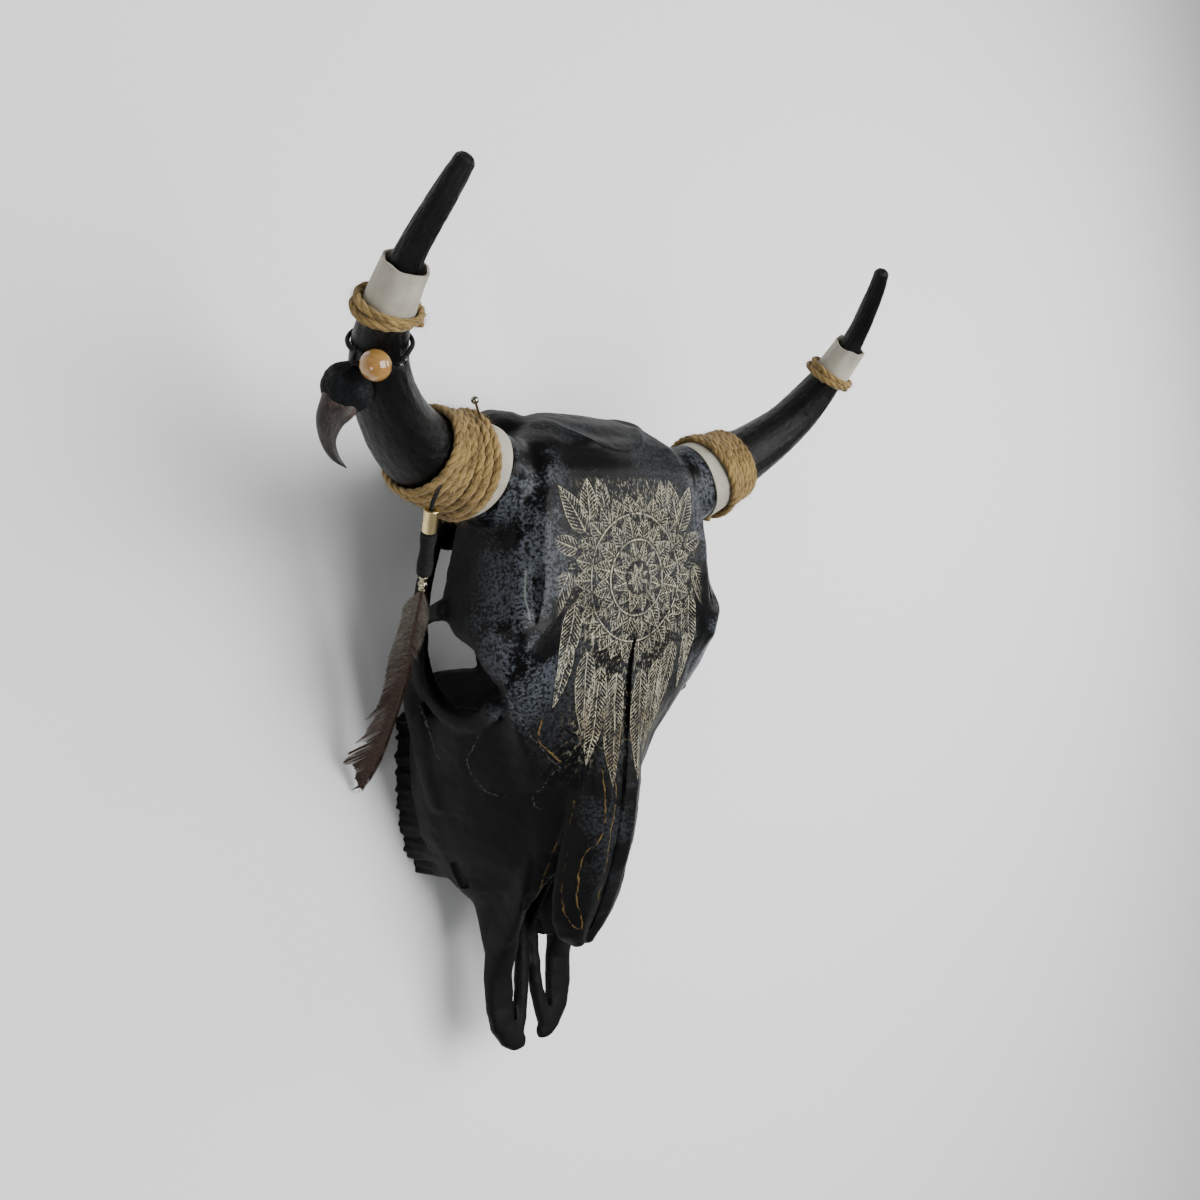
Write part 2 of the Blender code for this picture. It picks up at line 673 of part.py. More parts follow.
class HornLine:
    """The middle line of one horn, with its radius and an even frame at each place along it."""

    def __init__(self, side):
        points = [(side * x, y, z) for x, y, z in HORN_LINE]
        for k in (0, 1):
            x, y, z = points[k]
            points[k] = (x, y + BASE_SHIFT[side], z)
        table = np.column_stack([points, np.array(HORN_RADII) * HORN_GIRTH[side]])
        table, self.length = curve_through(table, 240)
        self.path, self.radii = table[:, :3], table[:, 3]
        self.at = np.linspace(0, self.length, len(table))
        self.tangents = np.gradient(self.path, axis=0)
        self.tangents /= np.linalg.norm(self.tangents, axis=1, keepdims=True)
        first = np.cross(self.tangents[0], (0, 0, 1))
        normals = [first / np.linalg.norm(first)]
        for tangent in self.tangents[1:]:
            carried = normals[-1] - tangent * (normals[-1] @ tangent)
            normals.append(carried / np.linalg.norm(carried))
        self.normals = np.array(normals)

    def read(self, table, place):
        return np.array([np.interp(place, self.at, table[:, k]) for k in range(3)])

    def middle(self, place):
        before = min(place, 0) * self.tangents[0]
        return self.read(self.path, max(place, 0)) + before

    def along(self, place):
        tangent = self.read(self.tangents, place)
        return tangent / np.linalg.norm(tangent)

    def radius(self, place):
        return float(np.interp(place, self.at, self.radii))

    def ring(self, place, radius):
        turn = np.linspace(0, 2 * math.pi, HORN_SIDES, endpoint=False)
        normal = self.read(self.normals, place)
        return self.around(place, radius, turn, normal)

    def around(self, place, radius, turn, towards):
        """Points round the horn at one place, turned by the given angles from a direction."""
        tangent = self.along(place)
        normal = np.array(towards) - tangent * (np.array(towards) @ tangent)
        normal /= np.linalg.norm(normal)
        other = np.cross(tangent, normal)
        turn = np.asarray(turn)[:, None]
        return self.middle(place) + radius * (normal * np.cos(turn) + other * np.sin(turn))


def add_part(parts, name, mesh, finish):
    mesh.name = name
    mesh.materials.clear()
    mesh.materials.append(finish)
    mesh.shade_smooth()
    mesh.set_sharp_from_angle(angle=math.radians(35))
    obj = bpy.data.objects.new(name, mesh)
    parts.objects.link(obj)
    return obj


def mesh_of(name, builder):
    bm = bmesh.new()
    builder(bm)
    bmesh.ops.remove_doubles(bm, verts=bm.verts, dist=0.00002)
    bmesh.ops.recalc_face_normals(bm, faces=bm.faces)
    mesh = bpy.data.meshes.new(name)
    bm.to_mesh(mesh)
    bm.free()
    return mesh


def spanned(start, end):
    """The start, the horn's own ring places between, and the end."""
    return [start, *(place for place in HORN_PLACES if start < place < end), end]


def horn_rings(horn, spare=0.0):
    rings = [horn.ring(place, horn.radius(place) + spare) for place in HORN_PLACES]
    tip = horn.radius(horn.length) + spare
    for back, share in ((0.004, 1.0), (0.001, 0.7), (-0.0005, 0.3)):
        rings.append(horn.ring(horn.length - back, share * tip))
    return rings


def sleeve_builder(horn, outline):
    """A tube round the horn whose wall has the given closed outline of (place, height over the horn)."""

    def build(bm):
        add_closed_loft(bm, [horn.ring(place, horn.radius(place) + over) for place, over in outline])

    return build


def top_rise(place):
    """How far the top band stands off the horn, which tapers more than it does."""
    start, end = TOP_BAND
    return GAP + TOP_FLARE * max(place - start, 0) / (end - start)


def band_outline(span, rise):
    places = spanned(*span)
    inner = [(place, rise(place)) for place in reversed(places)]
    return inner + [(place, rise(place) + BAND_WALL) for place in places]


def rope_outline(span, turns, under):
    """Round humps for the turns of a rope, over what lies under it at each place."""
    start, end = span
    pitch = (end - start) / turns
    outline = [(place, under(place)) for place in reversed(spanned(start, end))]
    for turn in range(turns):
        for share, rise in ((0.08, 0.45), (0.50, 1.0)):
            place = start + pitch * (turn + share)
            outline.append((place, under(place) + rise * ROPE))
    outline.append((end - 0.08 * pitch, under(end) + 0.45 * ROPE))
    return outline


def under_wrap(place):
    """The first turns lie on the base band and the others on the horn."""
    return GAP + (BAND_WALL + GAP) * float(np.clip((0.043 - place) / 0.006, 0, 1))


def under_ring(place):
    """The rope ring lies on the lower end of the top band."""
    return top_rise(ROPE_RING[1]) + BAND_WALL + GAP


def make_horns(parts, finishes):
    for side, word in ((-1, "left"), (1, "right")):
        horn = HornLine(side)
        sleeves = (
            ("base_band", band_outline(BASE_BAND, lambda place: GAP), "hide"),
            ("top_band", band_outline(TOP_BAND, top_rise), "hide"),
            ("base_wrap", rope_outline(BASE_WRAP, BASE_TURNS, under_wrap), "rope"),
            ("rope_ring", rope_outline(ROPE_RING, RING_TURNS, under_ring), "rope"),
        )
        rings = horn_rings(horn)
        label = f"horn_{word}"
        add_part(parts, label, mesh_of(label, lambda bm: add_loft(bm, rings)), finishes["horn"])
        for name, outline, finish in sleeves:
            label = f"{name}_{word}"
            add_part(parts, label, mesh_of(label, sleeve_builder(horn, outline)), finishes[finish])


OUTER_ACROSS = Vector((0.701, -0.058, 0.711)).normalized()
OUTER_WAY = Vector((-0.712, -0.022, 0.701)).normalized()


def outer_axes():
    """Axes for what faces the horn's outer side: across, along the skull, and outwards."""
    along = OUTER_WAY.cross(OUTER_ACROSS).normalized()
    return Matrix((OUTER_ACROSS, along, OUTER_WAY)).transposed().to_4x4()


def claw_rings(spare=0.0):
    """The claw's sections, with the given spare room round them."""
    widths = [width + spare for width in CLAW_WIDTHS]
    depths = [depth + spare for depth in CLAW_DEPTHS]
    start = np.array(CLAW_LINE[0])
    start = start + spare * (start - CLAW_LINE[1]) / np.linalg.norm(start - CLAW_LINE[1])
    line = (start, *CLAW_LINE[1:])
    return tube_rings(line, widths, depths, up=OUTER_WAY, sides=10, count=10)


def make_claw(parts, finishes):
    horn = HornLine(-1)

    def cap(bm):
        place = Matrix.Translation(CAP_MIDDLE) @ outer_axes() @ Matrix.Diagonal((*CAP_HALF, 1.0))
        bmesh.ops.create_uvsphere(bm, u_segments=14, v_segments=9, radius=1.0, matrix=place)

    clearance = mesh_of("clearance", lambda bm: add_loft(bm, horn_rings(horn, 1.2 * GAP)))
    cap_mesh = carved("claw_cap", mesh_of("cap", cap), clearance)
    socket = mesh_of("socket", lambda bm: add_loft(bm, claw_rings(GAP)))
    cap_mesh = carved("claw_cap", cap_mesh, socket)
    add_part(parts, "claw_cap", cap_mesh, finishes["leather"])
    add_part(parts, "claw", mesh_of("claw", lambda bm: add_loft(bm, claw_rings())), finishes["claw"])


def turned(start, axis, outline, sides, hollow):
    """Rings of (distance along the axis, radius); a hollow outline closes on itself."""
    start, axis = Vector(start), Vector(axis).normalized()
    side = axis.orthogonal().normalized()
    other = axis.cross(side)
    turn = np.linspace(0, 2 * math.pi, sides, endpoint=False)
    rings = []
    for distance, radius in outline:
        middle = start + axis * distance
        rings.append([middle + radius * (side * math.cos(a) + other * math.sin(a)) for a in turn])

    def build(bm):
        if hollow:
            add_closed_loft(bm, rings)
        else:
            add_loft(bm, rings)

    return build


def bead_outline(radius, steps):
    """Half circle of the given radius, cut by the bore."""
    limit = math.acos(BORE_RADIUS / radius)
    angles = np.linspace(-limit, limit, steps)
    outline = [(radius * math.sin(a), radius * math.cos(a)) for a in angles]
    return outline + [(outline[-1][0] * 0.3, BORE_RADIUS), (outline[0][0] * 0.3, BORE_RADIUS)]


def lashing_points(horn):
    """The cord's loop: straight through the bead, down to the horn, on one side at once, and round it."""
    close = horn.radius(BEAD_PLACE) + GAP + CORD_RADIUS
    high = horn.radius(BEAD_PLACE) + GAP + BEAD_RADIUS
    reach = math.atan2(BEAD_RADIUS + 0.004, high)
    corner = math.acos(close / (high / math.cos(reach)))
    turns = np.linspace(-math.pi, math.pi, 6 * LASHING_STEPS, endpoint=False)
    size = np.abs(turns)
    over = np.where(size < reach, high / np.cos(np.minimum(size, reach)), 0.0)
    falling = close / np.cos(np.clip(reach + corner - size, 0, corner))
    drop = np.clip(1 - (size - reach) / 0.35, 0, 1)
    dropping = close + (high / math.cos(reach) - close) * drop**2
    distance = np.where(size < reach, over, np.where(turns > 0, falling, dropping))
    for _ in range(9):
        distance = (np.roll(distance, 1) + 2 * distance + np.roll(distance, -1)) / 4
    places = BEAD_PLACE + 0.002 * np.sin(turns)
    rows = []
    for place, turn, away in zip(places, turns, distance):
        spare = horn.radius(place) - horn.radius(BEAD_PLACE)
        rows.append(horn.around(place, away + max(spare, 0), [turn], BEAD_WAY)[0])
    return np.array(rows[::6])


def loop_rings(points, middle, radius, sides):
    """Round sections across a closed path that runs round the given middle."""
    along = np.roll(points, -1, axis=0) - np.roll(points, 1, axis=0)
    along /= np.linalg.norm(along, axis=1, keepdims=True)
    out = points - middle
    out -= along * np.sum(out * along, axis=1, keepdims=True)
    out /= np.linalg.norm(out, axis=1, keepdims=True)
    other = np.cross(along, out)
    turn = np.linspace(0, 2 * math.pi, sides, endpoint=False)[None, :, None]
    return points[:, None] + radius * (out[:, None] * np.cos(turn) + other[:, None] * np.sin(turn))


def make_bead(parts, finishes):
    horn = HornLine(-1)
    path = lashing_points(horn)
    middle = len(path) // 2
    bead = turned(path[middle], path[middle + 1] - path[middle - 1], bead_outline(BEAD_RADIUS, 9), 12, True)
    add_part(parts, "bead", mesh_of("bead", bead), finishes["bead"])
    for number, stretch in enumerate(SEED_STRETCHES, 1):
        one, other = path[middle + stretch], path[middle + stretch + 1]
        seed = turned((one + other) / 2, other - one, bead_outline(SEED_RADIUS, 4), 8, True)
        add_part(parts, f"seed_bead_{number}", mesh_of("seed", seed), finishes["seed"])
    rings = loop_rings(path, horn.middle(BEAD_PLACE), CORD_RADIUS, 5)
    add_part(parts, "lashing", mesh_of("lashing", lambda bm: add_closed_loft(bm, rings)), finishes["cord"])


def ridged(span, radius, count, depth):
    """Outline of a thread wound closely round a shaft."""
    start, end = span
    outline = [(start, 0.8 * radius)]
    for k in range(count):
        for share, height in ((0.0, radius - depth), (0.5, radius)):
            outline.append((start + (end - start) * (k + share + 0.25) / (count + 0.25), height))
    return outline + [(end, 0.8 * radius)]


def make_pendant(parts, finishes):
    horn = HornLine(-1)
    top, end = Vector(PENDANT_TOP), Vector(PENDANT_END)
    way = (end - top).normalized()
    place = 0.064
    over = horn.radius(place) + GAP + ROPE + GAP + CORD_RADIUS
    towards = top - Vector(horn.middle(place))
    arc = horn.around(place, over, np.radians((34, 24, 14)), towards)
    cord = [*arc, top - way * 0.004, top + way * 0.004, top + way * (THREAD_SPAN[0] - GAP)]
    sizes = (CORD_RADIUS,) * len(cord)
    cord_rings = tube_rings(cord, sizes, sizes, up=OUTER_ACROSS, sides=5, count=15)
    add_part(parts, "pendant_cord", mesh_of("cord", lambda bm: add_loft(bm, cord_rings)), finishes["cord"])
    start, stop = TUBE_SPAN
    wall = ((start, TUBE_RADIUS), (stop, TUBE_RADIUS), (stop, BORE_RADIUS), (start, BORE_RADIUS))
    add_part(parts, "brass_tube", mesh_of("tube", turned(top, way, wall, 12, True)), finishes["brass"])
    thread = ridged(THREAD_SPAN, THREAD_RADIUS, THREAD_RIDGES, 0.0006)
    add_part(parts, "thread_wrap", mesh_of("thread", turned(top, way, thread, 8, False)), finishes["cord"])
    start, stop = CRIMP_SPAN
    bore = QUILL_RADIUS + GAP
    collar = (
        (start, bore),
        (start, 0.7 * CRIMP_RADIUS),
        (start + 0.0015, CRIMP_RADIUS),
        (start + 0.0040, 0.8 * CRIMP_RADIUS),
        (stop, CRIMP_RADIUS),
        (stop, bore),
    )
    add_part(parts, "crimp", mesh_of("crimp", turned(top, way, collar, 8, True)), finishes["metal"])
    rings = feather_rings((tuple(top + way * QUILL_START), tuple(end + way * 0.001), *FEATHER_LINE))
    add_part(parts, "feather", mesh_of("feather", lambda bm: add_loft(bm, rings)), finishes["feather"])


def feather_rings(line):
    """Flat sections across the shaft: a thin vane to each side of it, thicker at the shaft."""
    fine, _ = curve_through(line, 401)
    tangents = np.gradient(fine, axis=0)
    rings = []
    for share, left, right in FEATHER_EDGE:
        k = round(share * 400)
        along = tangents[k] / np.linalg.norm(tangents[k])
        across = np.array(OUTER_ACROSS) - along * (np.array(OUTER_ACROSS) @ along)
        across /= np.linalg.norm(across)
        out = np.cross(across, along)
        if out @ np.array(OUTER_WAY) < 0:
            out = -out
        half = 0.5 * VANE_THICKNESS
        section = (
            (-left, -0.10 * left + half),
            (-QUILL_RADIUS, 0.6 * half),
            (0, QUILL_RADIUS),
            (QUILL_RADIUS, 0.6 * half),
            (right, -0.10 * right + half),
            (right, -0.10 * right - half),
            (0, -QUILL_RADIUS),
            (-left, -0.10 * left - half),
        )
        if left <= QUILL_RADIUS:
            turn = np.radians((202, 155, 90, 25, 338, 315, 270, 225))
            section = QUILL_RADIUS * np.column_stack([np.cos(turn), np.sin(turn)])
        rings.append([fine[k] + across * a + out * b for a, b in section])
    return rings


def make_metal_ball(parts, finishes):
    """A ball on a thin stem that points at the rope wrap."""
    horn = HornLine(-1)
    ball = np.array(BALL_MIDDLE)
    place = horn.at[np.argmin(np.linalg.norm(horn.path - ball, axis=1))]
    inwards = horn.middle(place) - ball
    stem = np.linalg.norm(inwards) - horn.radius(place) - GAP - ROPE - GAP
    angles = np.radians((-80, -45, -10, 25, 55))
    outline = [(BALL_RADIUS * math.sin(a), BALL_RADIUS * math.cos(a)) for a in angles]
    outline += [(math.sqrt(BALL_RADIUS**2 - STEM_RADIUS**2), STEM_RADIUS), (stem, STEM_RADIUS)]
    build = turned(ball, inwards, outline, 8, False)
    add_part(parts, "metal_ball", mesh_of("ball", build), finishes["metal"])


def main():
    for obj in list(bpy.data.objects):
        bpy.data.objects.remove(obj)
    parts = bpy.data.collections.new("bull_skull")
    bpy.context.scene.collection.children.link(parts)
    finishes = {
        "horn": material("black horn", (0.015, 0.014, 0.014), 0.35),
        "hide": material("white hide", (0.62, 0.60, 0.57), 0.75),
        "rope": material("jute rope", (0.42, 0.28, 0.14), 0.9),
        "leather": material("black leather", (0.01, 0.011, 0.013), 0.7),
        "claw": material("dark claw", (0.05, 0.045, 0.042), 0.4),
        "cord": material("black cord", (0.012, 0.012, 0.014), 0.8),
        "bead": material("amber bead", (0.62, 0.36, 0.12), 0.15),
        "seed": material("dark glass bead", (0.01, 0.01, 0.012), 0.1),
        "brass": material("pale brass", (0.80, 0.62, 0.30), 0.3, 1.0),
        "metal": material("dark metal", (0.45, 0.42, 0.32), 0.25, 1.0),
        "feather": material("brown feather", (0.07, 0.05, 0.04), 0.8),
    }
    make_skull(parts)
    make_horns(parts, finishes)
    make_claw(parts, finishes)
    make_bead(parts, finishes)
    make_pendant(parts, finishes)
    make_metal_ball(parts, finishes)
    carrier = bpy.data.objects.new("skull_frame", None)
    parts.objects.link(carrier)
    carrier.location = (-FOOTPRINT_MIDDLE[0], -FOOTPRINT_MIDDLE[1], -BITE_LEVEL)
    for obj in parts.objects:
        if obj != carrier:
            obj.parent = carrier


main()
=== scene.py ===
"""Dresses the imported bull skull: fine bone, horns, ropes, bands, claw, bead and feather pendant.

Points are written in the skull's frame, as in the part's source, and SHIFT carries them to the part's
frame: the skull lies on its cheek teeth, face up, nose to -Y, its own right side at -X.
"""

import math

import bmesh
import bpy
import numpy as np
from bpy.props import FloatProperty, FloatVectorProperty, IntProperty, PointerProperty
from mathutils import Matrix, Vector


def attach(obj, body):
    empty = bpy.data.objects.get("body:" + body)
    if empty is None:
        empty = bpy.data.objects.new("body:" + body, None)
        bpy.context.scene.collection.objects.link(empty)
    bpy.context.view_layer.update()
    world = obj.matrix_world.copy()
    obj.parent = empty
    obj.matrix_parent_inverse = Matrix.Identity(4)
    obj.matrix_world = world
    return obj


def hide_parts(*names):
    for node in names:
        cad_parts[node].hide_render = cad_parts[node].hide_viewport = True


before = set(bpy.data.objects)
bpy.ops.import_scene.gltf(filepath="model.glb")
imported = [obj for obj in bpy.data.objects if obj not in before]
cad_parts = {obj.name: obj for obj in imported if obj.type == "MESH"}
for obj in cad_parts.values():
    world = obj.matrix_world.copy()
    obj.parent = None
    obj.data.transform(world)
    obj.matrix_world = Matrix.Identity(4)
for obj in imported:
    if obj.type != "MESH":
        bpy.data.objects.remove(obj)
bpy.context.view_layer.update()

bl_info = {
    "name": "Engraved bull skull",
    "version": (1, 0, 0),
    "blender": (4, 5, 0),
    "location": "3D View > Sidebar > Bull skull",
    "description": "Detailed surfaces and finishes for a bull skull with rope-bound horns",
    "category": "Object",
}

SHIFT = np.array((0.0023, 0.1992, 0.0100))
BITE_LEVEL = -0.010
BONE_TRIANGLES = 192000
MM = 1000.0

# The photo's camera: place in mm in the skull's frame, its three axes, focal length and middle in pixels
EYE = (-625.79, -130.28, 772.71)
EYE_RIGHT = (0.682904, -0.060085, 0.728032)
EYE_DOWN = (-0.030908, -0.998096, -0.053382)
EYE_AHEAD = (0.729854, 0.013953, -0.683461)
FOCAL = 1178.05
PICTURE_MIDDLE = (631.24, 556.15)
PICTURE = 1200
SEEN_FROM = (-0.73, -0.01, 0.68)

# The horns
HORN_LINE = (
    (0.096, -0.062, 0.147),
    (0.119, -0.055, 0.152),
    (0.165, -0.041, 0.158),
    (0.203, -0.015, 0.181),
    (0.222, 0.014, 0.206),
    (0.227, 0.050, 0.241),
    (0.220, 0.081, 0.268),
    (0.213, 0.102, 0.284),
)
HORN_RADII = (0.0305, 0.0298, 0.0245, 0.0190, 0.0155, 0.0090, 0.0072, 0.0055)
HORN_GIRTH = {-1: 1.06, 1: 1.0}
BASE_SHIFT = {-1: 0.002, 1: -0.003}
STUMP_END = 0.0203
BASE_BAND = (0.0185, 0.0365)
BASE_WRAP = (0.0270, 0.0705)
BASE_TURNS = 7
ROPE_RING = (0.182, 0.1935)
RING_TURNS = 2
TOP_BAND = (0.183, 0.220)
TOP_FLARE = 0.0025
TOP_SLOPE = 0.0040
BAND_WALL = 0.0016
GAP = 0.0003

# Claw, bead, pendant and ball
CAP_MIDDLE = (-0.2345, -0.0123, 0.1890)
CAP_HALF = (0.0158, 0.0150, 0.0105)
CLAW_LINE = (
    (-0.2360, -0.0135, 0.1875),
    (-0.2390, -0.0215, 0.1860),
    (-0.2440, -0.0314, 0.1830),
    (-0.2449, -0.0430, 0.1810),
    (-0.2404, -0.0523, 0.1800),
    (-0.2336, -0.0588, 0.1810),
)
CLAW_WIDTHS = (0.0112, 0.0115, 0.0086, 0.0048, 0.0027, 0.0004)
CLAW_DEPTHS = (0.0062, 0.0062, 0.0052, 0.0034, 0.0020, 0.0004)
OUTER_ACROSS = np.array((0.701, -0.058, 0.711))
OUTER_WAY = np.array((-0.712, -0.022, 0.701))
BEAD_RADIUS = 0.0092
BEAD_PLACE = 0.166
BEAD_WAY = (-0.591, -0.091, 0.817)
SEED_RADIUS = 0.0024
SEED_STRETCHES = (2, 3)
CORD_RADIUS = 0.0015
ROPE = 0.0056
PENDANT_TOP = np.array((-0.1633, -0.0824, 0.1680))
PENDANT_END = np.array((-0.1515, -0.1340, 0.1370))
TUBE_SPAN = (0.0, 0.0163)
TUBE_RADIUS = 0.0048
TUBE_BORE = 0.0023
THREAD_SPAN = (0.0166, 0.0490)
THREAD_RADIUS = 0.0056
CRIMP_SPAN = (0.0493, 0.0605)
CRIMP_RADIUS = 0.0032
CORD_ARC = ((34, 0.0058), (24, 0.0050), (14, 0.0012))
QUILL_START = 0.0500
QUILL_RADIUS = 0.0010
FEATHER_LINE = (
    (-0.1420, -0.1675, 0.1100),
    (-0.1310, -0.1990, 0.0825),
    (-0.1240, -0.2385, 0.0485),
    (-0.1195, -0.2620, 0.0240),
    (-0.1170, -0.2860, -0.0045),
)
# Shares of the feather's length, with the vane's width to each side of the shaft
FEATHER_EDGE = np.array((
    (0.000, 0.0010, 0.0010),
    (0.050, 0.0010, 0.0010),
    (0.070, 0.0070, 0.0045),
    (0.130, 0.0105, 0.0080),
    (0.200, 0.0105, 0.0075),
    (0.270, 0.0120, 0.0070),
    (0.330, 0.0140, 0.0035),
    (0.430, 0.0140, 0.0025),
    (0.520, 0.0130, 0.0025),
    (0.580, 0.0140, 0.0025),
    (0.610, 0.0185, 0.0025),
    (0.620, 0.0125, 0.0025),
    (0.690, 0.0155, 0.0025),
    (0.730, 0.0200, 0.0028),
    (0.740, 0.0140, 0.0030),
    (0.785, 0.0110, 0.0030),
    (0.805, 0.0215, 0.0032),
    (0.870, 0.0190, 0.0034),
    (0.930, 0.0130, 0.0032),
    (0.975, 0.0080, 0.0026),
    (1.000, 0.0014, 0.0010),
))
SHAFT_SHADE = -0.6
BALL_MIDDLE = np.array((-0.1390, -0.0136, 0.1877))
BALL_RADIUS = 0.0027
STEM_FOOT = np.array((-0.1260, -0.0250, 0.1773))
STEM_RADIUS = 0.0008


# Sizes and colours that a user would change


class SkullSettings(bpy.types.PropertyGroup):
    grain: FloatProperty(
        name="Grain", description="Width of the finest form in the bone",
        default=0.0017, min=0.0015, unit="LENGTH",
    )
    paint: FloatVectorProperty(
        name="Paint", description="Black of the painted bone",
        default=(0.0010, 0.0012, 0.0017), subtype="COLOR",
    )
    # Painted sheen: the blue-grey colour painted where the main light reflects off the forehead plate
    sheen: FloatVectorProperty(
        name="Painted sheen", description="Blue-grey painted sheen on the upward faces of the forehead plate",
        default=(0.060, 0.067, 0.079), subtype="COLOR",
    )
    cream: FloatVectorProperty(
        name="Cut bone", description="Cream of the engraved lines",
        default=(0.60, 0.55, 0.37), subtype="COLOR",
    )
    ochre: FloatVectorProperty(
        name="Ochre", description="Brown-yellow along the nose bones",
        default=(0.155, 0.098, 0.032), subtype="COLOR",
    )


class HornSettings(bpy.types.PropertyGroup):
    black: FloatVectorProperty(
        name="Horn", description="Black of the horns", default=(0.0016, 0.0016, 0.0014), subtype="COLOR"
    )
    hide: FloatVectorProperty(
        name="Band", description="Off-white of the bands", default=(0.395, 0.370, 0.300), subtype="COLOR"
    )
    striation: FloatProperty(
        name="Striation", description="Height of the ridges along a horn", default=0.00030, unit="LENGTH"
    )


class RopeSettings(bpy.types.PropertyGroup):
    radius: FloatProperty(name="Rope", description="Radius of the rope", default=0.00335, unit="LENGTH")
    lay: FloatProperty(
        name="Lay", description="Length of one twist of the strands", default=0.021, unit="LENGTH"
    )
    fibres: IntProperty(name="Fibres", description="Loose fibres on one base wrap", default=3000, min=0)
    light: FloatVectorProperty(
        name="Light jute", description="Lighter fibres", default=(0.43, 0.29, 0.105), subtype="COLOR"
    )
    dark: FloatVectorProperty(
        name="Dark jute", description="Darker fibres", default=(0.048, 0.027, 0.008), subtype="COLOR"
    )


class TrinketSettings(bpy.types.PropertyGroup):
    amber: FloatVectorProperty(
        name="Bead", description="Colour of the bead", default=(0.27, 0.135, 0.036), subtype="COLOR"
    )
    claw: FloatVectorProperty(
        name="Claw", description="Colour of the claw", default=(0.020, 0.0165, 0.0145), subtype="COLOR"
    )
    brass: FloatVectorProperty(
        name="Tube", description="Colour of the tube", default=(0.83, 0.66, 0.33), subtype="COLOR"
    )
    cord: FloatVectorProperty(
        name="Cord", description="Black of cord", default=(0.0035, 0.0035, 0.0038), subtype="COLOR"
    )


class FeatherSettings(bpy.types.PropertyGroup):
    barbs: IntProperty(name="Barbs", description="Barbs on each side", default=430, min=20)
    down: IntProperty(name="Down", description="Soft fibres at the base", default=900, min=0)
    vane: FloatVectorProperty(
        name="Vane", description="Colour of the vane", default=(0.024, 0.0135, 0.0095), subtype="COLOR"
    )
    grey: FloatVectorProperty(
        name="Down", description="Colour of the down", default=(0.082, 0.070, 0.058), subtype="COLOR"
    )


class StageSettings(bpy.types.PropertyGroup):
    floor: FloatVectorProperty(
        name="Floor", description="Colour of the floor", default=(0.93, 0.93, 0.93), subtype="COLOR"
    )
    soft: FloatProperty(
        name="Soft light", description="Strength of the light all round", default=0.30, min=0
    )
    key: FloatProperty(
        name="Main light", description="Power of the large light", default=62.0, min=0, unit="POWER"
    )


# Surfaces


def curve(points, count):
    """Catmull-Rom: each point is left along the line between its neighbours; spread evenly by length."""
    points = np.asarray(points, float)
    ends = np.vstack([2 * points[0] - points[1], points, 2 * points[-1] - points[-2]])
    a, b, c, d = (ends[k : len(ends) - 3 + k, None] for k in range(4))
    t = np.linspace(0, 1, 24, endpoint=False)[None, :, None]
    bend = (2 * a - 5 * b + 4 * c - d) * t**2 + (3 * b - a - 3 * c + d) * t**3
    fine = (0.5 * (2 * b + (c - a) * t + bend)).reshape(-1, points.shape[1])
    fine = np.vstack([fine, points[-1:]])
    at = travelled(fine[:, :3])
    even = np.linspace(0, at[-1], count)
    return np.stack([np.interp(even, at, fine[:, k]) for k in range(points.shape[1])], 1)


def travelled(points):
    """Length along a path up to each of its points."""
    steps = np.linalg.norm(np.diff(points, axis=0), axis=1)
    return np.concatenate([[0], np.cumsum(steps)])


def unit(vectors):
    """Each vector over its own length."""
    return vectors / np.maximum(np.linalg.norm(vectors, axis=-1, keepdims=True), 1e-12)


def tube(points, sideways, upright=None, up=(0, 0, 1), sides=14, count=None):
    """Ellipses across a path: half width sideways, half height along up; rows run along the path."""
    table = np.column_stack([points, sideways, sideways if upright is None else upright])
    table = curve(table, count or 4 * len(points))
    path = table[:, :3]
    along = unit(np.gradient(path, axis=0))
    right = unit(np.cross(along, up))
    high = np.cross(right, along)
    turn = np.linspace(0, 2 * math.pi, sides, endpoint=False)[None, :, None]
    across = right[:, None] * table[:, 3, None, None] * np.cos(turn)
    return path[:, None] + across + high[:, None] * table[:, 4, None, None] * np.sin(turn)


def ball(middle, half, turn=Matrix.Identity(3), rows=14, columns=24):
    """An ellipsoid: latitude down the rows and longitude round the columns, with the poles at both ends."""
    high = np.linspace(-math.pi / 2, math.pi / 2, rows)[:, None]
    round_ = np.linspace(0, 2 * math.pi, columns, endpoint=False)[None, :]
    sphere = np.stack(
        [np.cos(high) * np.cos(round_), np.cos(high) * np.sin(round_), np.sin(high) + 0 * round_], -1
    )
    return np.asarray(middle) + (sphere * half) @ np.array(turn).T


def round_sections(middles, right, other, turn, size):
    """Circles about the middles: middle + size x (right x cos + other x sin), for each turn."""
    across = right * np.cos(turn)[..., None] + other * np.sin(turn)[..., None]
    return middles[:, None] + across * size[..., None]


def swept(path, radius, sides, start=(0, 0, 1), twist=0.0, ridges=0, depth=0.0):
    """A round section carried along a path; with ridges, its radius dips between twisted strands."""
    along = unit(np.gradient(path, axis=0))
    right = unit(np.cross(along, start))
    other = np.cross(along, right)
    turn = np.linspace(0, 2 * math.pi, sides, endpoint=False)[None, :]
    size = np.broadcast_to(np.asarray(radius, float).reshape(-1, 1), (len(path), 1))
    wave = depth * np.abs(np.sin(0.5 * ridges * (turn + twist * travelled(path)[:, None])))
    size = size * (1 - depth + wave)
    return round_sections(path, right[:, None], other[:, None], turn, size)


